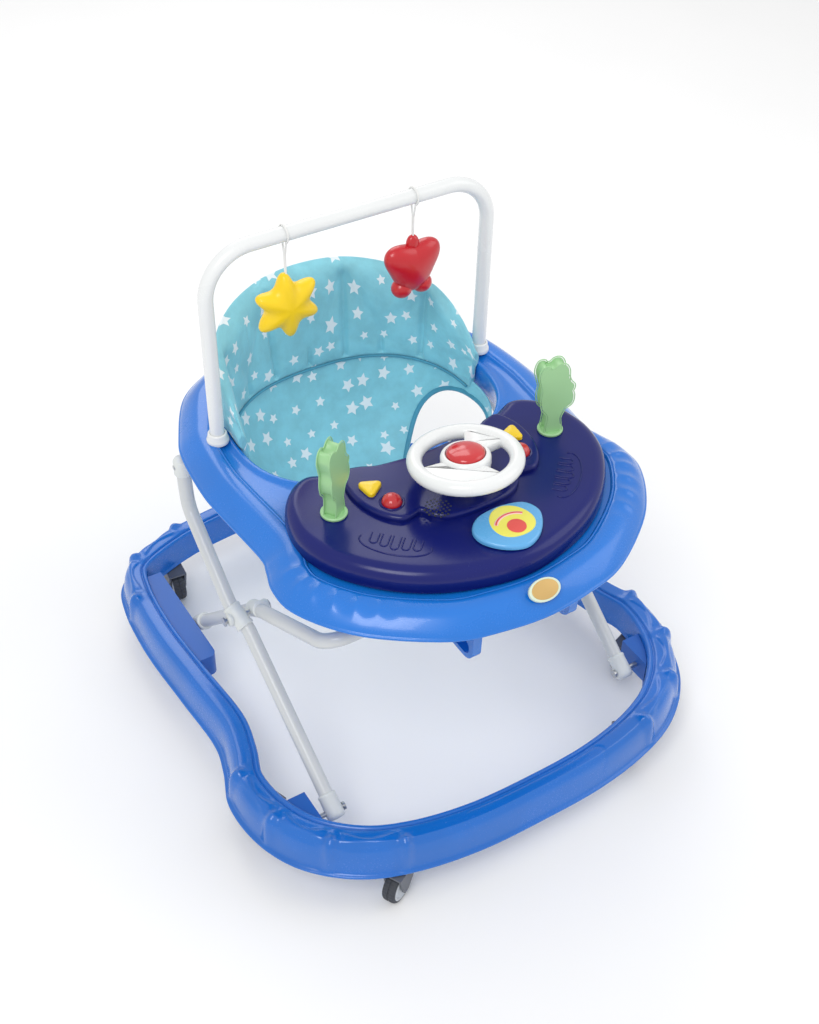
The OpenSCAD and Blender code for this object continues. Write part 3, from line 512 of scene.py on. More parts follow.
def make_finishes(c, sizes):
    """Every finish of the walker, by a plain name."""
    FINISH.update(
        ring=plastic("ring_blue_gloss", c.ring, 0.24, coat=0.35),
        inner=plastic("guide_blue_satin", c.inner, 0.38),
        tray=plastic("tray_blue_gloss", c.tray, 0.25, coat=0.35),
        navy=plastic("panel_navy_gloss", c.navy, 0.2, shine=0.35),
        steel=plastic("tube_grey_coat", c.steel, 0.32, coat=0.2, spread=0.02),
        bright=plastic("bright_steel", srgb(186, 188, 190), 0.3, metal=0.9, spread=0.03),
        cap=plastic("cap_white_satin", c.cap, 0.42, spread=0.02),
        white=plastic("white_gloss", c.white, 0.26, coat=0.3, spread=0.015),
        red=plastic("button_red_gloss", c.red, 0.18, coat=0.6),
        yellow=plastic("button_yellow_gloss", c.yellow, 0.25, coat=0.4),
        green=plastic("figure_green_satin", c.green, 0.36, coat=0.1),
        sky=plastic("plate_sky_gloss", c.sky, 0.25, coat=0.4),
        lemon=plastic("plate_yellow_print", srgb(232, 226, 96), 0.32),
        rose=plastic("plate_red_print", srgb(222, 84, 78), 0.32),
        pink=plastic("plate_pink_print", srgb(240, 196, 196), 0.34),
        gold=plastic("badge_gold", c.gold, 0.34, metal=0.35),
        pale=plastic("badge_rim", srgb(212, 226, 206), 0.35),
        grey=plastic("caster_grey_satin", c.grey, 0.45, spread=0.03),
        rubber=plastic("tread_rubber", c.rubber, 0.62, depth=0.4),
        hub=plastic("caster_hub_pale", srgb(190, 196, 204), 0.35),
        dark=plastic("rack_dark_satin", srgb(48, 52, 60), 0.5),
        board=plastic("board_green_mask", srgb(24, 92, 54), 0.35),
        cell=plastic("battery_sleeve", srgb(80, 84, 90), 0.3, coat=0.4),
        star=plastic("star_yellow_vinyl", c.star, 0.4, coat=0.15, depth=0.3),
        heart=plastic("heart_red_vinyl", c.heart, 0.3, coat=0.35, depth=0.2),
        cord=plastic("cord_white_cotton", srgb(236, 236, 234), 0.8, depth=0.5),
        aqua=cloth("seat_aqua_star_satin", c.aqua, c.print_white, sizes.star_print),
        teal=cloth("seat_teal_binding", c.teal),
    )


# ---------------------------------------------------------------- shared outlines

RING_KNOTS = [
    (0, -1), (0.28, -0.99), (0.53, -0.945), (0.73, -0.865), (0.89, -0.73), (0.976, -0.57),
    (1, -0.395), (0.955, -0.25), (0.931, -0.115), (0.952, 0.13), (0.97, 0.42), (0.95, 0.675),
    (0.886, 0.826), (0.7, 0.92), (0.42, 0.98), (0, 1),
]  # fmt: skip
TRAY_KNOTS = [
    (0, -1), (0.235, -0.98), (0.46, -0.932), (0.732, -0.79), (0.888, -0.66), (0.99, -0.514),
    (1, -0.394), (0.967, -0.3), (0.95, -0.22), (0.978, 0.052), (0.986, 0.2), (0.959, 0.42),
    (0.904, 0.555), (0.74, 0.785), (0.5, 0.915), (0.26, 0.98), (0, 1),
]  # fmt: skip
PANEL_KNOTS = [
    (0, -283), (61, -273), (116, -250), (163, -213), (198, -165), (210, -115), (201, -67),
    (178, -35), (150, -23), (118, -36), (68, -53), (0, -59),
]  # fmt: skip
CONSOLE_KNOTS = [
    (0, -190), (25, -189), (46, -184), (61, -173), (69, -159), (77, -160), (95, -161),
    (112, -144), (123, -118), (126, -92), (122, -68), (111, -50), (92, -52), (66, -62), (0, -68),
]  # fmt: skip
KNUCKLES = [(188, -328), (266, -284), (306, -215), (305, -138), (300, 224), (263, 292), (193, 333)]
OPEN_Y, OPEN_HALF, OPEN_FRONT, OPEN_REAR = 88 * MM, 180 * MM, 130 * MM, 165 * MM


def plan(node):
    """Half width, half length and middle y of a CAD node."""
    lo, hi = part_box(node)
    return (hi.x - lo.x) / 2, (hi.y - lo.y) / 2, (hi.y + lo.y) / 2


def open_radius(angle):
    """Radius of the seat opening in a direction: a rounded oval, longer to the rear."""
    reach = np.where(np.sin(angle) < 0, OPEN_FRONT, OPEN_REAR)
    power = 2.4
    return (np.abs(np.cos(angle) / OPEN_HALF) ** power + np.abs(np.sin(angle) / reach) ** power) ** (-1 / power)


def open_point(angle, inset=0.0):
    """Point on the seat opening in a direction, moved in by inset."""
    r = open_radius(angle) - inset
    return np.stack([r * np.cos(angle), OPEN_Y + r * np.sin(angle)], -1)


def run_length(line):
    """Length along a line from its first point to each point."""
    return np.concatenate([[0], np.cumsum(np.linalg.norm(np.diff(line, axis=0), axis=1))])


def nearest(line, along, spot):
    """Length along a line at its point closest to a spot."""
    return along[np.argmin(np.linalg.norm(line - np.asarray(spot), axis=1))]


def hump(distance, width):
    """A smooth hump of height 1 at distance 0."""
    return np.exp(-((distance / width) ** 2))


def window(value, low, high, soft):
    """1 between low and high, 0 outside, with soft ends."""
    rise = np.clip((low - value) / soft, -60, 60)
    fall = np.clip((value - high) / soft, -60, 60)
    return 1 / (1 + np.exp(rise)) / (1 + np.exp(fall))


# ---------------------------------------------------------------- pieces


def base_ring(s):
    """Base ring: the shell's section carried round the lip, raised by the knuckles, bones and capsule."""
    half_w, half_l, _ = plan("base_ring")
    top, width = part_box("base_ring")[1].z, 42 * MM
    path = even(closed_curve(both_sides(RING_KNOTS), 24) * [half_w, half_l], 900)
    outer = np.array([
        (0, -48), (-0.4, -46.6), (0, -45.2), (1.2, -44.6), (3.2, -44), (4.4, -42), (5, -39), (6, -32),
        (7.2, -24), (8.6, -16), (10, -11.5), (11.2, -8.6), (12.6, -6.2), (14.2, -4.2), (16, -2.6),
    ]) * MM
    crown_d = np.arange(17.2, 33.4, 1.1)
    crown = np.c_[crown_d, -0.9 * ((crown_d - 24.5) / 8.5) ** 2] * MM
    bead = np.array([
        (33.8, -1.9), (34.4, -3.2), (35.2, -3.4), (35.9, -2.6), (36.8, -1.4), (38, -1), (39.3, -1.2),
        (40.6, -2.1), (41.5, -3.6), (42, -6), (42, -20), (42, -40), (42, -45), (43.2, -46.4), (43.2, -48),
    ]) * MM
    under = np.array([
        (39, -48), (39, -9), (33, -6.4), (24, -4.4), (17, -6.6), (12.6, -15), (9, -32), (7, -44), (2.6, -46), (2, -48),
    ]) * MM  # fmt: skip
    section = np.vstack([outer, crown, bead, under])
    d, z = np.repeat(section[None, :, 0], len(path), axis=0), section[None, :, 1]
    normal = inward(path)
    from_corner = np.hypot(np.abs(path[:, 0]) - 300 * MM, path[:, 1] + 250 * MM)
    wide = 10 * MM * hump(from_corner, 170 * MM)[:, None]
    spread = d * (1 + wide / width) - wide
    flat = path[:, None] + normal[:, None] * spread[..., None]
    rise = np.zeros(flat.shape[:2])
    along = run_length(path)
    total = along[-1] + np.linalg.norm(path[0] - path[-1])
    for x, y in [(x * k, y) for x, y in KNUCKLES for k in (1, -1)]:
        here = nearest(path, along, (x * MM, y * MM))
        ds = np.abs((along - here + total / 2) % total - total / 2)[:, None]
        rise += s.knuckle * np.exp(-(((ds / s.knuckle_r) ** 2 + ((d - 12.5 * MM) / s.knuckle_r) ** 2) ** 1.2))
        rise += 1.5 * MM * hump(ds, 10 * MM) * window(d, 8 * MM, 34 * MM, 2 * MM)
    for first, second in ((0, 1), (1, 2), (2, 3), (4, 5), (5, 6)):
        for side in (1, -1):
            pair = [(KNUCKLES[k][0] * side * MM, KNUCKLES[k][1] * MM) for k in (first, second)]
            start, stop = sorted(nearest(path, along, spot) for spot in pair)
            share = (along - start) / (stop - start)
            half = (5.2 + 3.2 * np.cos(2 * math.pi * np.clip(share, 0, 1))) * MM
            inside = window(share, 0.13, 0.87, 0.02)[:, None]
            across = window(d, (20 * MM - half)[:, None], (20 * MM + half)[:, None], 0.7 * MM)
            rise += s.bone_rise * inside * across
    over = np.maximum(np.abs(flat[..., 0]) - (s.capsule_half - 11 * MM), 0)
    capsule = np.hypot(over, d - 19 * MM) - 11 * MM
    rise -= MM * hump(capsule, 1.3 * MM) * (flat[..., 1] < 0) * (over < 30 * MM)
    top_side = np.arange(len(section)) < len(outer) + len(crown) + 8
    rise = rise * top_side
    tip = np.clip(1 - d / (22 * MM), 0, 0.7) * top_side
    flat = flat - normal[:, None] * (rise * tip)[..., None]
    grid = np.concatenate([flat, (top + z + rise * (1 - 0.3 * tip))[..., None]], 2)
    shell = skin(grid, close_rows=True, close_cols=True)
    piece("ring_shell", [shell], "base", "ring", ["base_ring"], 50)


def casters():
    """Wheels: a ribbed tread ring and two dished hub discs, turned about each axle."""
    for end in ("front", "side", "rear"):
        for side in ("left", "right"):
            lo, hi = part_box(f"wheel_{end}_{side}")
            joint = next(j for j in frame["joints"] if j["name"] == f"roll_{end}_{side}")
            centre, axis = np.array(joint["pos_m"]), np.array(joint["axis"], float)
            r, w, bore = (hi.z - lo.z) / 2 / MM, 9.5, 3.6
            points, faces = turned(
                [(r - 6, 1 - w), (r - 2.5, 0.6 - w), (r - 0.8, 2.2 - w), (r - 0.2, 5 - w), (r, -1.2), (r - 1, -0.8),
                 (r - 1, 0.8), (r, 1.2), (r - 0.2, w - 5), (r - 0.8, w - 2.2), (r - 2.5, w - 0.6), (r - 6, w - 1)],
                centre, axis, 96, closed=True)  # fmt: skip
            rel = points - centre
            up = np.cross(axis, [0.0, 0, 1])
            spin = np.arctan2(rel[:, 2], rel @ up)
            out = rel - np.outer(rel @ axis, axis)
            far = np.linalg.norm(out, axis=1)
            on_tread = (far > (r - 1.5) * MM) * (np.abs(rel @ axis) < (w - 1.5) * MM)
            groove = (np.cos(spin * 32) < -0.2) * on_tread
            tread = points - out / far[:, None] * (groove * 0.7 * MM)[:, None], faces
            body, name = f"roller_{end}_{side}", f"{end}_{side}"
            piece(f"tread_{name}", [tread], body, "rubber", [f"wheel_{name}"])
            hub = [(bore, -w), (bore + 3, -w), (bore + 3.6, 0.8 - w), (r - 9, 1.6 - w), (r - 7, -w - 0.2),
                   (r - 5, 0.2 - w), (r - 5, w - 0.2), (r - 7, w + 0.2), (r - 9, w - 1.6),
                   (bore + 3.6, w - 0.8), (bore + 3, w), (bore, w)]  # fmt: skip
            piece(f"hub_{name}", [turned(hub, centre, axis, 64, closed=True)], body, "hub")


def connectors():
    """Saddles where the tubes cross: short sleeves whose two ends flare into soft lobes."""
    cross = np.array([0, 2, 233]) * MM
    for body, x, lean, nodes, reach, girth in (
        ("rear_legs", 242.5, (9.0, 34.0, 22.0), ["leg_saddles"], 17, 11.3),
        ("front_legs", 214.5, (0.0, 28.0, -21.5), ["frame_saddles"], 16, 10.7),
    ):
        run = np.array(lean) / np.linalg.norm(lean)
        middle = cross + np.array([x, 0, 0]) * MM
        share = np.linspace(-1, 1, 41)
        radius = (girth + 1.1 * hump(np.abs(share) - 0.86, 0.17) + 0.7 * hump(share, 0.3)) * MM
        radius[0] = radius[-1] = 10.2 * MM
        sleeve = tube(middle + np.outer(share * reach * MM, run), radius, 40)
        boss_side = 1 if body == "rear_legs" else -1
        boss = turned(
            [(0.5, 0), (9, 0), (9.4, 3), (8.2, 5.4), (5, 6.2), (0.5, 6.4)],
            middle + np.array([boss_side * 9.5 * MM, 0, 0]), (boss_side, 0, 0), 36)  # fmt: skip
        both = merged([sleeve, boss])
        piece(f"{body}_saddles", [both, mirrored(both)], body, "cap", nodes, 50)


def end_cups():
    """Cups on the tube ends: a tapered sleeve with a rolled mouth and a closed, rounded foot."""

    def cup(base, run, length, r_foot, r_mouth):
        """One cup from its foot at base along run, in millimetres."""
        run = np.array(run, float) / np.linalg.norm(run)
        at = np.array([0, 0.02, 0.07, 0.16, 0.3, 0.85, 0.9, 0.93, 0.97, 1.0])
        r = np.array([0.3, 0.75, 0.93, 1.0, 1.0, 1.0, 1.05, 1.06, 1.03, 0.9])
        radius = r * (r_foot + (r_mouth - r_foot) * at) * MM
        return tube(np.array(base) * MM + np.outer(at * length * MM, run), radius, 40)

    foot = cup((232.7, -238.7, 72.5), (4, 215, 144), 35, 12.6, 11.4)
    top = turned([(9.6, 0), (11.4, 0), (11.6, 1.5), (11.6, 20), (10, 22.6), (6, 23.8), (0.4, 24)],
                 np.array([242, 143, 375]) * MM, sides=40)  # fmt: skip
    low = cup((238.3, 160, 77), (-22, -137, 135.5), 30, 11.6, 11.8)
    piece("foot_cups", [foot, mirrored(foot)], "rear_legs", "cap", ["leg_foot_caps"], 60)
    piece("top_cups", [top, mirrored(top)], "rear_legs", "cap", ["leg_top_caps"], 60)
    stub = tube(np.array([(228, 153, 84), (257.5, 153, 84)]) * MM, 6.9 * MM, 24)
    sliders = [low, mirrored(low), stub, mirrored(stub)]
    piece("slider_cups", sliders, "front_legs", "cap", ["slider_ends"], 60)
    head = np.array([219.4, -229, 79]) * MM
    screw = turned([(0.4, 0.6), (3, 0.2), (4.6, 0.8), (5, 0)], head, (-1, 0, 0), 24)
    piece("foot_screws", [screw, mirrored(screw)], "rear_legs", "dark", (), 30)


def tray_shell(s):
    """Tray: a section blended from the rim to the seat opening, with a rolled lip and fluted corners."""
    half_w, half_l, mid_y = plan("tray_shell")
    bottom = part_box("tray_shell")[0].z
    knots = both_sides(TRAY_KNOTS) * [half_w, half_l] + [0, mid_y]
    rim = even(closed_curve(knots, 24), 860)
    normal = inward(rim)
    outer = np.array([
        (0.4, 0), (0, 1), (0.2, 2.4), (1.2, 3.4), (2, 3.6), (2.6, 4.6), (4, 6.8), (6, 9.2), (8.4, 11.8), (11, 14.4),
        (14, 17.2), (17, 19.6), (20, 21.6), (23, 23.1), (26, 24.2), (29, 24.9), (32, 25.3), (35, 25.5), (38, 25.5),
        (40.5, 25.2), (42.2, 24.5), (43.2, 23.6), (44.2, 24.1), (45.4, 23.6), (46.6, 22), (47.6, 20.6),
    ]) * MM  # fmt: skip
    inner = np.array([
        (14, 19.2), (11, 20), (8, 21.2), (5.4, 22.2), (3, 22.2), (1.2, 21), (0.2, 18.6), (0, 15), (0.6, 4), (1.6, -6),
        (2.4, -15), (3.4, -17), (4.6, -15), (4.2, 0), (3.6, 14), (11, 16),
    ]) * MM  # fmt: skip
    under = np.array([(46, 16), (39, 20), (30, 21.8), (21, 18.4), (14, 12), (7, 5.6), (3.4, 1), (3, 0)]) * MM
    angle = np.arctan2(rim[:, 1] - OPEN_Y, rim[:, 0])
    edge_in = np.stack([open_point(angle, -d) for d in inner[:, 0]], 1)
    edge_out = rim[:, None] + normal[:, None] * outer[None, :, 0, None]
    below = rim[:, None] + normal[:, None] * under[None, :, 0, None]
    share = np.linspace(0, 1, 12)[1:-1]
    deck = edge_out[:, -1:, :] + (edge_in[:, :1, :] - edge_out[:, -1:, :]) * share[None, :, None]
    deck_z = outer[-1, 1] + (inner[0, 1] - outer[-1, 1]) * share - 0.6 * MM * np.sin(math.pi * share)
    heights = np.concatenate([outer[:, 1], deck_z, inner[:, 1], under[:, 1]])
    plan_points = np.concatenate([edge_out, deck, edge_in, below], 1)
    z = np.broadcast_to(bottom + heights, plan_points.shape[:2]).copy()
    along = run_length(rim)
    flutes = 7
    for side in (1, -1):
        ends = [(side * 252 * MM, -105 * MM), (side * 172 * MM, -285 * MM)]
        first, last = sorted(nearest(rim, along, spot) for spot in ends)
        t = (along - first) / (last - first)
        wave = 0.5 - 0.5 * np.cos(2 * math.pi * flutes * t)
        deeper = 0.45 + 0.55 * np.sin(math.pi * np.clip(t, 0, 1))
        dip = s.flute * np.clip(wave, 0, 1) ** 0.7 * ((t > 0) & (t < 1)) * deeper
        z[:, : len(outer)] -= dip[:, None] * window(outer[None, :, 0], 15 * MM, 37 * MM, 2 * MM)
    grid = np.concatenate([plan_points, z[..., None]], 2)
    shell = skin(grid, close_rows=True, close_cols=True)
    piece("tray_moulding", [shell], "tray", "tray", ["tray_shell"], 50)


def play_panel(s):
    """Play panel: a kidney plate with a wide rounded edge, a raised console, and embossed shells, with flat dark discs
    of painted shade where the speaker holes are.
    """
    lo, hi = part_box("play_panel")
    outline = even(closed_curve(both_sides(PANEL_KNOTS) * MM, 16), 320)
    a = np.linspace(0, math.pi / 2, 14)
    r, h = s.panel_round, 19 * MM
    section = [(0, lo.z), (0, lo.z + 2 * MM)]
    section += [(r * (1 - math.cos(x)) ** 1.15, hi.z - h * (1 - math.sin(x))) for x in a]
    shares = np.linspace(1, 0.03, 26)[1:]
    normal = inward(outline)
    centre = np.array([0, -150 * MM])
    rows = [np.c_[outline + normal * d, np.full(len(outline), z)] for d, z in section]
    last = outline + normal * section[-1][0]
    rows += [np.c_[centre + (last - centre) * k, np.full(len(outline), hi.z)] for k in shares]
    body = skin(np.stack(rows), close_cols=True, caps=True)
    console = even(closed_curve(both_sides(CONSOLE_KNOTS) * MM, 12), 260)
    lobes = pillow(console, hi.z - 1 * MM, hi.z + s.console_rise, 5.5 * MM)
    piece("panel_moulding", [body, lobes], "tray", "navy", ["play_panel"], 50)
    marks = []
    for side in (1, -1):
        middle = np.array([side * 121, -187]) * MM
        run = np.array([side * 0.7, 0.71])
        off = np.array([-run[1], run[0]]) * side
        t = np.radians(np.linspace(-12, 192, 50))
        arc = middle + np.outer(np.cos(t) * 43 * MM, run) - np.outer(np.sin(t) * 19 * MM, off)
        marks.append(np.c_[arc, np.full(len(arc), hi.z)])
        for k in range(5):
            base = middle + run * (k - 2) * 13 * MM + off * 12 * MM
            tall = (22 - 2.2 * abs(k - 2)) * MM
            u = np.radians(np.linspace(0, 180, 13))
            cap = np.c_[-4.6 * MM * np.cos(u), tall - 5 * MM + 5 * MM * np.sin(u)]
            loop = np.vstack([[-4.6 * MM, 0], cap, [4.6 * MM, 0]])
            line = base + np.outer(loop[:, 0], run) - np.outer(loop[:, 1], off)
            marks.append(np.c_[line, np.full(len(line), hi.z)])
    piece("panel_embossing", [tube(m, MM, 8) for m in marks], "tray", "navy", (), 60)
    top = hi.z + s.console_rise
    # painted shade: the speaker holes are not cut; flat dark discs on the console's top stand for the shade inside them
    spots = [(x, y) for x in range(-66, -34, 5) for y in range(-182, -150, 5)]
    spots = [p for p in spots if math.hypot(p[0] + 51, p[1] + 166) < 17]
    ring = [(0.2, -0.6), (1.3, -0.6), (1.5, 0.12), (0.2, 0.1)]
    hole_shade_dots = [turned(ring, (x * MM, y * MM, top), sides=8) for x, y in spots]
    piece("speaker_hole_shade", hole_shade_dots, "tray", "dark", (), 30)


def steering():
    """Steering wheel: a thick rim with a wide hub plate that leaves two openings, and its horn cap."""
    centre = np.array([0, -146, 503]) * MM
    lean = tilt(-7)
    ring_r, rim_r = 61 * MM, 9.4 * MM
    t = np.linspace(0, 2 * math.pi, 96, endpoint=False)
    rim = tube(np.c_[np.cos(t) * ring_r, np.sin(t) * ring_r, np.zeros(96)], rim_r, 28, closed=True)

    def spoke(first, last):
        """One sector of the hub plate, from the hub to inside the rim, with softened edges."""
        a = np.radians(np.linspace(first, last, 40))
        waist = 27 * MM
        out = np.c_[np.cos(a), np.sin(a)] * 57 * MM
        back = np.c_[np.cos(a[::-1]), np.sin(a[::-1])] * waist
        edge = even(np.vstack([out, back]), 160)
        return carried(edge, [(1.5, -7), (0, -5.5), (0, 3), (0.8, 4.7), (2.6, 5.5)])

    hub = turned(
        [(0.3, -13), (27, -13), (29.5, -10), (30.5, -4), (30.5, 4), (29.4, 7), (27.4, 9), (25.6, 9.6), (24.4, 9),
         (24.2, 4), (0.3, 4)], (0, 0, 0), sides=72)  # fmt: skip
    wheel = [placed(x, lean, centre) for x in (rim, hub, spoke(4, 59), spoke(170, 286))]
    piece("steering_rim", wheel, "steering", "white", ["steering_wheel"], 50)
    horn = turned(
        [(0.3, 4), (22, 4), (23.3, 6), (23.3, 9), (22.4, 11.4), (19.5, 13.2), (14, 14.6), (7, 15.4), (0.3, 15.6)],
        (0, 0, 0), sides=72)  # fmt: skip
    piece("horn_cap", [placed(horn, lean, centre)], "horn", "red", ["horn_button"], 50)


def buttons(s):
    """Push buttons: rounded triangles and domes, each standing out of the console."""
    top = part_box("play_panel")[1].z + s.console_rise
    a = np.linspace(0, 2 * math.pi, 90, endpoint=False)
    for side, name in ((-1, "left"), (1, "right")):
        r = (12.2 + 2.4 * np.cos(3 * a) + 0.5 * np.cos(6 * a)) * MM
        spin = 0.1 if side < 0 else math.pi - 0.1
        soft = np.c_[r * np.cos(a + spin), r * np.sin(a + spin)] + np.array([side * 102, -98]) * MM
        cap = pillow(soft, top - 4.5 * MM, top + 5.5 * MM, 2.6 * MM, 0.8 * MM)
        yellow, red = f"yellow_{name}", f"red_{name}"
        piece(f"triangle_{name}", [cap], yellow, "yellow", [f"yellow_button_{name}"], 50)
        centre = (side * 92 * MM, -131 * MM, top)
        dome = turned([(0.3, -4.5), (12, -4.5), (12.4, 0), (12, 3), (10.6, 6.2), (8, 8.8), (4.6, 10.4), (0.3, 11)],
                      centre, sides=48)  # fmt: skip
        piece(f"dome_{name}", [dome], red, "red", [f"red_button_{name}"], 50)
        collar = [(12.6, -1), (15.6, -1), (15.4, 0.6), (14.6, 1.4), (13.2, 1.2), (12.6, 0)]
        rim = turned(collar, centre, sides=48, closed=True)
        piece(f"dome_collar_{name}", [rim], "tray", "navy", (), 50)


def song_plate():
    """Song plate: a rounded wedge pad with a yellow field, a red disc and a curved band, all flat prints."""
    plate_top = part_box("song_plate")[1].z
    knots = [(3, -271), (24, -265), (42, -249), (52, -228), (44, -208), (22, -200), (0, -199), (-22, -204),
             (-37, -219), (-37, -240), (-20, -261)]  # fmt: skip
    edge = even(closed_curve(np.array(knots) * MM, 14), 150)
    pad = pillow(edge, plate_top - 4.5 * MM, plate_top + 2 * MM, 4 * MM, 1.5 * MM)
    piece("song_pad", [pad], "song", "sky", ["song_plate"], 50)
    top = plate_top + 2.6 * MM
    centre = np.array([10, -233]) * MM
    t = np.linspace(0, 2 * math.pi, 100, endpoint=False)
    field = np.c_[27 * np.cos(t) * (1 + 0.1 * np.sin(t)), 27 * np.sin(t) - 3 * np.cos(2 * t)] * MM + centre
    print_field = pillow(field, top - 1.2 * MM, top + 0.7 * MM, 0.8 * MM, 0.4 * MM)
    piece("song_field", [print_field], "song", "lemon", (), 50)
    disc = np.c_[11.5 * np.cos(t), 11.5 * np.sin(t)] * MM + centre + np.array([0, -8]) * MM
    piece("song_disc", [pillow(disc, top, top + 1.8 * MM, 0.8 * MM, 0.5 * MM)], "song", "rose", (), 50)
    arc = np.radians(np.linspace(40, 150, 40))
    line = np.c_[np.cos(arc) * 24, np.sin(arc) * 20 - 6] * MM + centre
    flatness = 0.35
    for name, r, over, lift in (("pink", 2.6, 0, 0), ("rose", 1.0, 0.9, 0.6)):
        points, faces = tube(np.c_[line, np.full(40, top + (0.4 + over) * MM)], r * MM, 10)
        up = (top + 0.9 * MM) * (1 - flatness) + lift * MM
        band = points * [1, 1, flatness] + [0, 0, up], faces
        piece(f"song_band_{name}", [band], "song", name, (), 60)


def inwards(outline, d):
    """An outline moved in by d."""
    return outline + inward(outline) * d


def figures():
    """Spinning figures: a waisted stem on a disc, a body that leans back, a crest and a stepped rear edge."""
    for side, name in ((-1, "left"), (1, "right")):
        centre = np.array([side * 156, -106, 457]) * MM
        base = turned(
            [(0.3, 0.4), (15.6, 0.4), (16.4, 1.6), (16.2, 3.4), (15, 4.4), (12.4, 4.2), (11.6, 3.2), (0.3, 3.2)],
            centre, sides=56)  # fmt: skip
        knots = np.array([
            (-6, 3), (-6.4, 14), (-5.6, 26), (-8, 36), (-14, 44), (-16.4, 58), (-15.4, 72), (-18.4, 84), (-21, 96),
            (-18.6, 106), (-14, 107), (-11.6, 103), (-4, 103.6), (1, 108), (7, 107.4), (11, 100), (12.4, 88), (16, 80),
            (20.4, 74), (18.6, 66), (20.8, 58), (19.6, 48), (12, 42), (8, 34), (5.4, 25), (6.6, 14), (7, 3),
        ]) * [MM, 0.95 * MM]  # fmt: skip
        shape = even(closed_curve(knots, 10), 240)
        slab = carried(shape, [(2.6, -8), (0.8, -7.4), (0, -5.8), (0, 5.8), (0.8, 7.4), (2.6, 8)])
        upright = tilt(34 if side < 0 else -14, "Z") @ tilt(90)
        surfaces = [base, placed(slab, upright, centre)]
        for front in (1, -1):
            ridge = inwards(shape, 4.2 * MM)
            line = np.c_[ridge, np.full(len(ridge), front * 7.9 * MM)]
            surfaces.append(placed(tube(line, 0.7 * MM, 8, closed=True), upright, centre))
        piece(f"figure_green_{name}", surfaces, f"spinner_{name}", "green", [f"figure_{name}"], 40)


def badge():
    """Blank oval badge: a pale rim round a gold field, tilted with the tray's front edge."""
    lo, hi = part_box("tray_badge")
    middle = np.array([(lo.x + hi.x) / 2, (lo.y + hi.y) / 2, (lo.z + hi.z) / 2])
    t = np.linspace(0, 2 * math.pi, 90, endpoint=False)
    oval = np.c_[21 * np.cos(t), 13.5 * np.sin(t)] * MM
    rim = pillow(oval, -3 * MM, 1.2 * MM, 1.2 * MM)
    field = pillow(oval * 0.84, 0.6 * MM, 1.9 * MM, 0.7 * MM, 0.5 * MM)
    lean = tilt(36)
    piece("badge_rim", [placed(rim, lean, middle)], "tray", "pale", ["tray_badge"], 50)
    piece("badge_field", [placed(field, lean, middle)], "tray", "gold", (), 50)


BAR_Y, BAR_TOP, BAR_R = 118.5 * MM, 697 * MM, 9.5 * MM
STAR_X, HEART_X = -93 * MM, 87 * MM


def toy_bar():
    """Toy bar: one tube bent twice, its line built from straight runs and quarter circles, and its collars."""
    half, bend = 199.5 * MM, 62 * MM
    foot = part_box("toy_bar")[0].z
    a = np.radians(np.linspace(180, 90, 28))
    corner = np.c_[-half + bend + bend * np.cos(a), np.full(28, BAR_Y), BAR_TOP - bend + bend * np.sin(a)]
    left = np.vstack([[[-half, BAR_Y, foot]], [[-half, BAR_Y, foot + 40 * MM]], corner])
    line = np.vstack([left, left[::-1] * [-1, 1, 1]])
    piece("bar_tube", [tube(line, BAR_R, 40)], "tray", "white", ["toy_bar"], 60)
    profile = [(9.6, -3), (14.4, -3), (14.6, 0), (14, 2), (12.8, 3.4), (12.4, 9), (11.6, 10.6), (10.2, 11), (9.6, 10)]
    collar = turned(profile, (half, BAR_Y, foot), sides=48, closed=True)
    piece("bar_cuffs", [collar, mirrored(collar)], "tray", "white", ["bar_collars"], 50)


def puffed(radius, centre, thick, rows=26, cols=180, turn=0.0):
    """A puffed solid in the XZ plane: each level is the outline drawn in as the thickness rounds off."""
    a = np.linspace(0, 2 * math.pi, cols, endpoint=False)
    level = np.sin(np.linspace(-math.pi / 2, math.pi / 2, rows) * 0.985)
    r = radius(a)
    base = r.min() * 0.9
    share = np.sqrt(1 - np.abs(level) ** 2.3)
    reach = share[:, None] * (base + (r - base)[None] * (0.35 + 0.65 * share[:, None]))
    side = np.broadcast_to(level[:, None] * thick / 2, reach.shape)
    out = np.stack([reach * np.cos(a + turn), side, reach * np.sin(a + turn)], -1)
    return skin(out + np.asarray(centre), close_cols=True, caps=True)


def hanging_toys():
    """Star and heart: puffed vinyl shapes, each on a doubled cord looped round the toy bar."""
    star_at, heart_at = (np.array([x, BAR_Y, 598 * MM]) for x in (STAR_X, HEART_X))

    def star_radius(a):
        """Six round points: r = 37 + 7.6 cos 6b + 1.2 cos 12b, with b from the top."""
        b = a - math.pi / 2
        return (37 + 7.6 * np.cos(6 * b) + 1.2 * np.cos(12 * b)) * MM

    star = puffed(star_radius, star_at, 34 * MM, turn=0.06)
    piece("star_body", [star], "hanging_star", "star", ["star"], 60)

    def heart_radius(a):
        """Two wide lobes on top, drawn in to a blunt lower end."""
        b = (a - math.pi / 2 + math.pi) % (2 * math.pi) - math.pi
        lobe = np.exp(-(((np.abs(b) - 0.95) / 0.55) ** 2))
        return (30 + 16 * lobe + 5 * np.exp(-(((np.abs(b) - math.pi) / 0.7) ** 2))) * MM

    heart = puffed(heart_radius, heart_at, 36 * MM)
    feet = [ellipsoid(heart_at + np.array([k * 15, 0, -29]) * MM, np.array([14, 13, 13]) * MM) for k in (-1, 1)]
    tab = ellipsoid(heart_at + np.array([0, 0, 32]) * MM, np.array([9, 7, 13]) * MM)
    piece("heart_body", [heart, tab, *feet], "hanging_heart", "heart", ["heart"], 60)


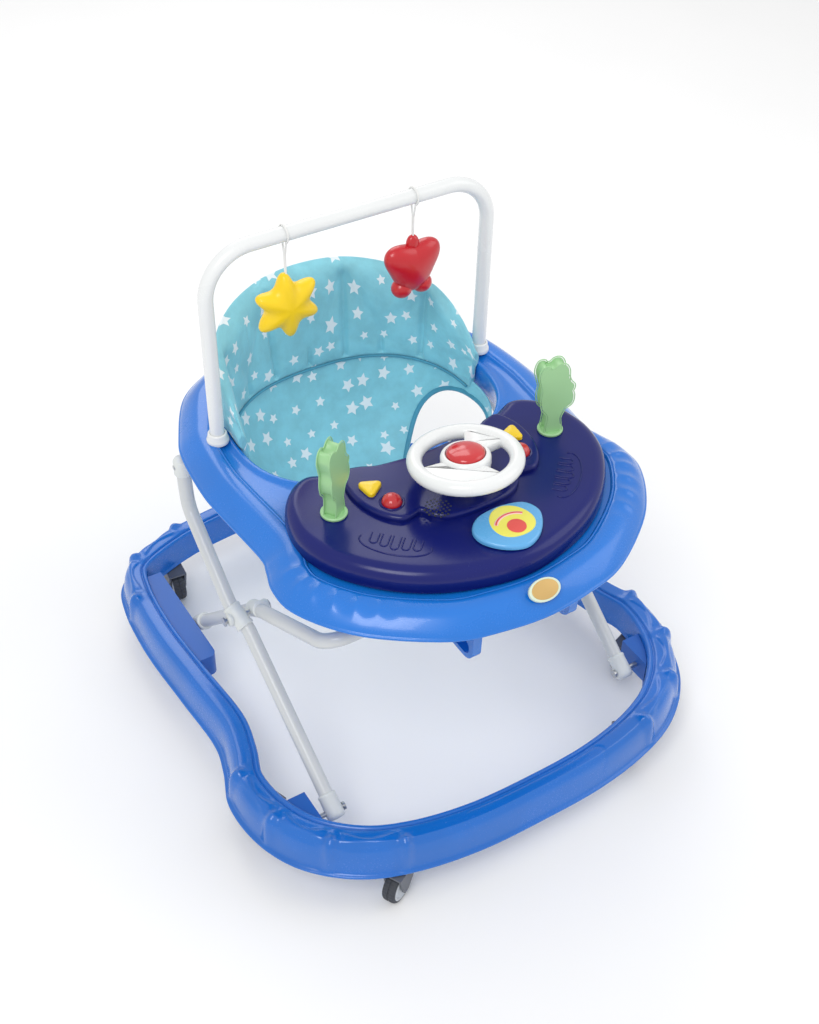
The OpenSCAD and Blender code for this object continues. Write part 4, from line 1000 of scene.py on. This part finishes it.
def toy_cords():
    """Toy cords: up one side from the toy, over the bar and down the other, close beside itself."""
    loop_r, thick = 11.2 * MM, 2.4 * MM
    for name, x, low in (("star", STAR_X, 636 * MM), ("heart", HEART_X, 640 * MM)):
        a = np.radians(np.linspace(-62, 242, 30))
        loop = np.c_[np.full(30, x), BAR_Y + loop_r * np.cos(a), BAR_TOP + loop_r * np.sin(a)]
        levels = [(2.2 * MM, BAR_TOP - 24 * MM), (1.2 * MM, (BAR_TOP + low) / 2), (MM, low)]
        down = np.array([(x, BAR_Y + off, z) for off, z in levels])
        back = np.array([(x, BAR_Y - off, z) for off, z in levels])
        line = open_curve(np.vstack([down[::-1], loop, back]), 3)
        cord = tube(line, thick / 2, 10)
        made = piece(f"{name}_string", [cord], f"hanging_{name}", "cord", [f"{name}_cord"], 60)


# ---------------------------------------------------------------- seat


def back_height(a):
    """Height of the backrest's top edge over the tray in a direction."""
    return (6 + 110 * np.clip(np.sin(a), 0, 1) ** 0.6) * MM


def seat_back(s):
    """Padded backrest: a closed section that stands on the tray's edge and hangs a skirt inside the opening."""
    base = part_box("seat_back")[0].z + 0.2 * MM
    n = 170
    a = np.radians(np.linspace(1, 179, n))
    h, out = back_height(a), (2 + 9 * np.clip((np.sin(a) - 0.17) / 0.33, 0, 1)) * MM
    skirt = 38 * MM

    def knot(depth, share, drop=0.0):
        """One corner of the section: depth inside the opening's edge, share of the height, drop under the tray."""
        z = h * share
        lean = np.clip(z - 12 * MM, 0, None) * 0.14 * np.sin(a) ** 2
        return np.stack([depth - lean, base + z - drop], -1)

    mid = (7 * MM - out) / 2
    above = [(-out, 0), (-out - MM, 0.45), (-out + MM, 0.93), (mid, 1), (5 * MM, 0.93), (9 * MM, 0.45), (10 * MM, 0)]
    below = [(13, 0.55), (11, 0.96), (7, 1), (3.2, 0.9), (2.2, 0.4), (1.6, 0)]
    knots = np.stack([knot(depth, share) for depth, share in above]
                     + [knot(depth * MM + 0 * a, 0, skirt * share) for depth, share in below])  # fmt: skip
    k = len(knots)
    per = 6
    section = closed_curve(knots.reshape(k, -1), per).reshape(k * per, n, 2)
    a_grid = np.broadcast_to(a[:, None], (n, k * per))
    plan_xy = open_point(a_grid, section[..., 0].T)
    grid = np.concatenate([plan_xy, section[..., 1].T[..., None]], 2)
    arc = run_length(open_point(a))
    step = np.linalg.norm(np.diff(section, axis=0), axis=2).mean(1)
    girth = np.concatenate([[0], np.cumsum(step)])
    uv = np.stack(np.broadcast_arrays(arc[:, None], girth[None]), -1).reshape(-1, 2)
    pad = skin(grid, close_cols=True, caps=True)
    made = piece("back_pad", [pad], "tray", "aqua", ["seat_back"], 80, uv=uv)
    inner = np.broadcast_to(np.arange(k * per)[None], (n, k * per))
    inner = (inner > 4.3 * per) & (inner < 8.6 * per)
    fill_pad(made, grid, a_grid, inner, s)
    sub = made.modifiers.new("smooth", "SUBSURF")
    sub.levels = sub.render_levels = 1


SEAMS = ((70, 1.0), (110, 1.0), (33, 1.0), (147, 1.0))
DARTS = (52, 90, 128)


def fill_pad(made, grid, angle, face, s):
    """Fills the pad: cloth under pressure, held along the sewn seams and the lower hem, then kept near home."""
    held = np.zeros(angle.shape)
    turn = np.degrees(angle)
    for degrees, share in SEAMS:
        held = np.maximum(held, share * hump(turn - degrees, 1.1) * face)
    for degrees in DARTS:
        short = window(grid[..., 2], 0, 418 * MM, 4 * MM)
        held = np.maximum(held, hump(turn - degrees - 0.06 * (grid[..., 2] - 0.4) * 100, 0.9) * face * short)
    low = grid[..., 2] - grid[..., 2].min()
    held = np.maximum(held, low < 3 * MM)
    held = np.maximum(held, ~face & (grid[..., 2] < 440 * MM))
    group = made.vertex_groups.new(name="held")
    flat = held.reshape(-1)
    for weight in (0.5, 1.0):
        chosen = np.nonzero(flat > weight * 0.6)[0]
        group.add(chosen.tolist(), float(weight), "REPLACE")
    home = np.empty(len(made.data.vertices) * 3, np.float32)
    made.data.vertices.foreach_get("co", home)
    home = home.reshape(-1, 3)
    start = home.copy()
    seam = np.clip(flat * face.reshape(-1) * (low.reshape(-1) > 4 * MM), 0, 1)[:, None]
    centre = np.array([0, OPEN_Y, 0])
    away = home - centre
    away[:, 2] = 0
    away /= np.linalg.norm(away, axis=1)[:, None]
    start += away * seam * s.seam_tuck
    made.data.vertices.foreach_set("co", start.ravel())
    cloth_mod = made.modifiers.new("fill", "CLOTH")
    cloth_mod.settings.vertex_group_mass = "held"
    cloth_mod.settings.use_pressure = True
    cloth_mod.settings.uniform_pressure_force = 4
    cloth_mod.settings.effector_weights.gravity = 0
    cloth_mod.settings.quality = 6
    cloth_mod.point_cache.frame_start, cloth_mod.point_cache.frame_end = 1, 20
    scene = bpy.context.scene
    for step in range(1, 21):
        scene.frame_set(step)
    shaped = made.evaluated_get(bpy.context.evaluated_depsgraph_get())
    buffer = np.empty(home.size, np.float32)
    shaped.data.vertices.foreach_get("co", buffer)
    made.modifiers.remove(cloth_mod)
    scene.frame_set(1)
    shift = buffer.reshape(-1, 3) - start
    far = np.linalg.norm(shift, axis=1)[:, None]
    limit = 8 * MM
    moved = start + shift * np.minimum(1, limit / np.maximum(far, 1e-9))
    made.data.vertices.foreach_set("co", moved.ravel())
    made.data.update()


LEG_HOLE = (math.radians(-16), 0.54, math.radians(50), 0.42)
HOLE_POWER = 2.4


def bowl(angle, depth, inset=0.0):
    """Point of the seat bowl: direction, and depth from the opening's edge (0) to the bottom's middle (1)."""
    top, bottom = 400 * MM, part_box("seat_bucket")[0].z + 2 * MM
    reach = np.cos(np.clip(depth, 0, 1) * math.pi / 2) ** 0.62
    drop = np.sin(np.clip(depth, 0, 1) * math.pi / 2) ** 1.25
    r = (open_radius(angle) - 6 * MM - inset) * np.maximum(reach, 0.001)
    shift = -14 * MM * drop
    z = top - (top - bottom) * drop + inset * drop
    return np.stack([r * np.cos(angle), OPEN_Y + shift + r * np.sin(angle), z], -1)


def hole_value(angle, depth, side):
    """Below 0 inside a leg hole: an oval in direction and depth."""
    a0, d0, ra, rd = LEG_HOLE
    centre = a0 if side > 0 else math.pi - a0
    off = (angle - centre + math.pi) % (2 * math.pi) - math.pi
    return np.abs(off / ra) ** HOLE_POWER + np.abs((depth - d0) / rd) ** HOLE_POWER - 1


def seat_bowl(s):
    """Seat bowl: fabric shell cut away inside two leg holes, whose edges are moved onto smooth ovals."""
    n, m = 200, 90
    a = np.linspace(0, 2 * math.pi, n, endpoint=False)[:, None] + 0 * np.linspace(0, 1, m)[None]
    d = np.linspace(0, 0.985, m)[None] + 0 * a
    a0, d0, ra, rd = LEG_HOLE
    quads = grid_faces(n, m, close_rows=True)
    mid_a = np.arctan2(np.sin(a.ravel()[quads]).mean(1), np.cos(a.ravel()[quads]).mean(1))
    mid_d = d.ravel()[quads].mean(1)
    keep = (hole_value(mid_a, mid_d, 1) > 0) & (hole_value(mid_a, mid_d, -1) > 0)
    kept, cut = np.zeros(n * m, bool), np.zeros(n * m, bool)
    kept[quads[keep].ravel()] = True
    cut[quads[~keep].ravel()] = True
    edge = kept & cut
    af, df = a.ravel().copy(), d.ravel().copy()
    for side in (1, -1):
        centre = a0 if side > 0 else math.pi - a0
        value = hole_value(af, df, side)
        mine = edge & (np.abs(value) < 0.6)
        off = (af - centre + math.pi) % (2 * math.pi) - math.pi
        scale = (value + 1) ** (-1 / HOLE_POWER)
        af[mine] = centre + off[mine] * scale[mine]
        df[mine] = d0 + (df[mine] - d0) * scale[mine]
    pucker = 1.6 * MM * np.sin(af * 34) * np.exp(-((df / 0.16) ** 2)) * (np.sin(af) > 0)
    points = bowl(af, df, pucker)
    quads = quads[keep]
    used = np.unique(quads)
    index = np.full(n * m, -1)
    index[used] = np.arange(len(used))
    points = points[used]
    faces = [index[quads][:, ::-1]]
    across = np.arcsin(np.clip(points[:, 0] / 0.19, -1, 1)) * 0.19
    uv = np.c_[across, points[:, 2] * 0.8 + points[:, 1] * 0.62]
    made = piece("seat_sling", [(points, faces)], "tray", "aqua", ["seat_bucket"], 80, uv=uv)
    thick = made.modifiers.new("wall", "SOLIDIFY")
    thick.thickness, thick.offset = 2.4 * MM, 0
    t = np.linspace(0, 2 * math.pi, 120, endpoint=False)
    rims = []
    for side in (1, -1):
        centre = a0 if side > 0 else math.pi - a0
        c, v = np.cos(t), np.sin(t)
        round_off = (np.abs(c) ** HOLE_POWER + np.abs(v) ** HOLE_POWER) ** (-1 / HOLE_POWER)
        rims.append(tube(bowl(centre + ra * c * round_off, d0 + rd * v * round_off), s.binding, 14, closed=True))
    piece("leg_bindings", rims, "tray", "teal", (), 80, uv=np.tile(rims[0][0][:, :2], (2, 1)))
    arc = np.radians(np.linspace(3, 177, 120))
    line = np.c_[open_point(arc, 12.5 * MM), np.full(120, 390.5 * MM)]
    piping = tube(line, s.piping, 10)
    piece("back_piping", [piping], "tray", "teal", (), 80, uv=piping[0][:, :2])


def dress_cad():
    """Gives every CAD node its own procedural finish."""
    by_slot = {
        "ring_blue": "ring", "ring_dark": "inner", "caster_grey": "grey", "wheel_grey": "hub", "tube_steel": "steel",
        "bright_steel": "bright", "cap_white": "cap", "tray_blue": "tray", "rack_dark": "tray", "navy": "navy",
        "badge_cream": "gold", "white_gloss": "white", "red_gloss": "red", "yellow_gloss": "yellow", "sky_gloss": "sky",
        "green_gloss": "green", "black_plastic": "dark", "board_green": "board", "battery_grey": "cell",
        "cord_white": "cord", "aqua_fabric": "teal", "star_yellow": "star", "heart_red": "heart",
    }  # fmt: skip
    slots = {row["node"]: row["material_slot"] for row in frame["record"]["subparts"]}
    for name, node in frame["nodes"].items():
        finish = FINISH[by_slot[slots[name]]]
        node.data.materials.clear()
        node.data.materials.append(finish)


# ---------------------------------------------------------------- stage


def look_camera():
    """Camera placed by its turn, height angle and roll, looking at the walker's middle."""
    turn, rise, roll = math.radians(-32.7), math.radians(41.78), math.radians(1.5)
    back = Vector((math.sin(turn) * math.cos(rise), -math.cos(turn) * math.cos(rise), math.sin(rise)))
    right = (-back).cross(Vector((0, 0, 1))).normalized()
    up = right.cross(-back)
    right2 = right * math.cos(roll) + up * math.sin(roll)
    up2 = up * math.cos(roll) - right * math.sin(roll)
    data = bpy.data.cameras.new("view")
    data.lens, data.sensor_width = 49.23, 36
    made = bpy.data.objects.new("view", data)
    axes = Matrix((right2, up2, back)).transposed().to_4x4()
    made.matrix_world = Matrix.Translation((-0.7414, -1.1814, 1.5536)) @ axes
    bpy.context.scene.collection.objects.link(made)
    bpy.context.scene.camera = made


def add_light(name, where, power, width):
    """A square lamp aimed at the middle of the walker."""
    data = bpy.data.lights.new(name, "AREA")
    data.energy, data.size = power, width
    made = bpy.data.objects.new(name, data)
    made.location = where
    made.rotation_euler = (Vector((0, 0, 0.35)) - Vector(where)).to_track_quat("-Z", "Y").to_euler()
    bpy.context.scene.collection.objects.link(made)


def build_stage():
    """Pale floor, soft lamps and an even white surround."""
    half = 14
    floor = bpy.data.meshes.new("floor")
    corners = [(-half, -half, 0), (half, -half, 0), (half, half, 0), (-half, half, 0)]
    floor.from_pydata(corners, [], [(0, 1, 2, 3)])
    ground = bpy.data.objects.new("floor", floor)
    bpy.context.scene.collection.objects.link(ground)
    made, w, shader = blank_material("pale_floor")
    place = w.node("TexCoord")
    speck = w.node("TexNoise", Vector=place.outputs["Object"], Scale=3.0)
    w.feed(shader.inputs["Base Color"], w.mix(speck.outputs[0], (0.93, 0.93, 0.93, 1), (0.96, 0.96, 0.96, 1)))
    shader.inputs["Roughness"].default_value = 0.9
    floor.materials.append(made)
    world = bpy.data.worlds.new("surround")
    world.use_nodes = True
    sky = next(n for n in world.node_tree.nodes if n.type == "BACKGROUND")
    sky.inputs[0].default_value = (1, 1, 1, 1)
    sky.inputs[1].default_value = 0.8
    bpy.context.scene.world = world
    bpy.context.scene.view_settings.view_transform = "Standard"
    add_light("key", (-1.5, -1.3, 2.6), 26, 1.2)
    add_light("fill", (1.9, -1.0, 1.9), 10, 1.6)
    add_light("rear", (0.6, 2.2, 2.2), 16, 1.6)


# ---------------------------------------------------------------- operators


class WALKER_OT_finishes(bpy.types.Operator):
    """Makes every material and dresses the CAD nodes"""

    bl_idname = "walker.finishes"
    bl_label = "Finishes"

    def execute(self, context):
        make_finishes(context.scene.walker_colours, context.scene.walker_sizes)
        dress_cad()
        return {"FINISHED"}


class WALKER_OT_camera(bpy.types.Operator):
    """Places the camera"""

    bl_idname = "walker.camera"
    bl_label = "Camera"

    def execute(self, context):
        look_camera()
        return {"FINISHED"}


class WALKER_OT_cords(bpy.types.Operator):
    """Hangs the cords of the toys"""

    bl_idname = "walker.cords"
    bl_label = "Toy cords"

    def execute(self, context):
        toy_cords()
        return {"FINISHED"}


class WALKER_OT_ring(bpy.types.Operator):
    """Builds the base ring"""

    bl_idname = "walker.ring"
    bl_label = "Base ring"

    def execute(self, context):
        base_ring(context.scene.walker_sizes)
        return {"FINISHED"}


class WALKER_OT_casters(bpy.types.Operator):
    """Builds the caster wheels"""

    bl_idname = "walker.casters"
    bl_label = "Casters"

    def execute(self, context):
        casters()
        return {"FINISHED"}


class WALKER_OT_connectors(bpy.types.Operator):
    """Builds the saddles and the tube cups"""

    bl_idname = "walker.connectors"
    bl_label = "Connectors"

    def execute(self, context):
        connectors()
        end_cups()
        return {"FINISHED"}


class WALKER_OT_tray(bpy.types.Operator):
    """Builds the tray"""

    bl_idname = "walker.tray"
    bl_label = "Tray"

    def execute(self, context):
        tray_shell(context.scene.walker_sizes)
        return {"FINISHED"}


class WALKER_OT_panel(bpy.types.Operator):
    """Builds the play panel"""

    bl_idname = "walker.panel"
    bl_label = "Play panel"

    def execute(self, context):
        play_panel(context.scene.walker_sizes)
        return {"FINISHED"}


class WALKER_OT_wheel(bpy.types.Operator):
    """Builds the steering wheel and the horn"""

    bl_idname = "walker.wheel"
    bl_label = "Steering wheel"

    def execute(self, context):
        steering()
        return {"FINISHED"}


class WALKER_OT_buttons(bpy.types.Operator):
    """Builds the push buttons and the song plate"""

    bl_idname = "walker.buttons"
    bl_label = "Buttons"

    def execute(self, context):
        buttons(context.scene.walker_sizes)
        song_plate()
        return {"FINISHED"}


class WALKER_OT_figures(bpy.types.Operator):
    """Builds the spinning figures and the badge"""

    bl_idname = "walker.figures"
    bl_label = "Figures"

    def execute(self, context):
        figures()
        badge()
        return {"FINISHED"}


class WALKER_OT_toybar(bpy.types.Operator):
    """Builds the toy bar and its toys"""

    bl_idname = "walker.toybar"
    bl_label = "Toy bar"

    def execute(self, context):
        toy_bar()
        hanging_toys()
        return {"FINISHED"}


class WALKER_OT_seat(bpy.types.Operator):
    """Builds the padded seat"""

    bl_idname = "walker.seat"
    bl_label = "Seat"

    def execute(self, context):
        seat_back(context.scene.walker_sizes)
        seat_bowl(context.scene.walker_sizes)
        return {"FINISHED"}


class WALKER_OT_stage(bpy.types.Operator):
    """Makes the floor and the lights"""

    bl_idname = "walker.stage"
    bl_label = "Stage"

    def execute(self, context):
        build_stage()
        return {"FINISHED"}


STEPS = [
    WALKER_OT_finishes, WALKER_OT_camera, WALKER_OT_cords, WALKER_OT_ring, WALKER_OT_casters,
    WALKER_OT_connectors, WALKER_OT_tray, WALKER_OT_panel, WALKER_OT_wheel, WALKER_OT_buttons,
    WALKER_OT_figures, WALKER_OT_toybar, WALKER_OT_seat, WALKER_OT_stage,
]


class WALKER_PT_panel(bpy.types.Panel):
    """Lists the walker's building steps."""

    bl_label = "Baby walker"
    bl_idname = "WALKER_PT_panel"
    bl_space_type = "VIEW_3D"
    bl_region_type = "UI"
    bl_category = "Walker"

    def draw(self, context):
        for step in STEPS:
            self.layout.operator(step.bl_idname)


CLASSES = [WalkerSizes, WalkerColours, *STEPS, WALKER_PT_panel]


def register():
    for cls in CLASSES:
        bpy.utils.register_class(cls)
    bpy.types.Scene.walker_sizes = bpy.props.PointerProperty(type=WalkerSizes)
    bpy.types.Scene.walker_colours = bpy.props.PointerProperty(type=WalkerColours)


def unregister():
    del bpy.types.Scene.walker_colours
    del bpy.types.Scene.walker_sizes
    for cls in reversed(CLASSES):
        bpy.utils.unregister_class(cls)


def main():
    """Builds the walker step by step."""
    register()
    bpy.ops.walker.finishes()
    bpy.ops.walker.camera()
    bpy.ops.walker.cords()
    bpy.ops.walker.ring()
    bpy.ops.walker.casters()
    bpy.ops.walker.connectors()
    bpy.ops.walker.tray()
    bpy.ops.walker.panel()
    bpy.ops.walker.wheel()
    bpy.ops.walker.buttons()
    bpy.ops.walker.figures()
    bpy.ops.walker.toybar()
    bpy.ops.walker.seat()
    bpy.ops.walker.stage()


if __name__ == "__main__":
    main()
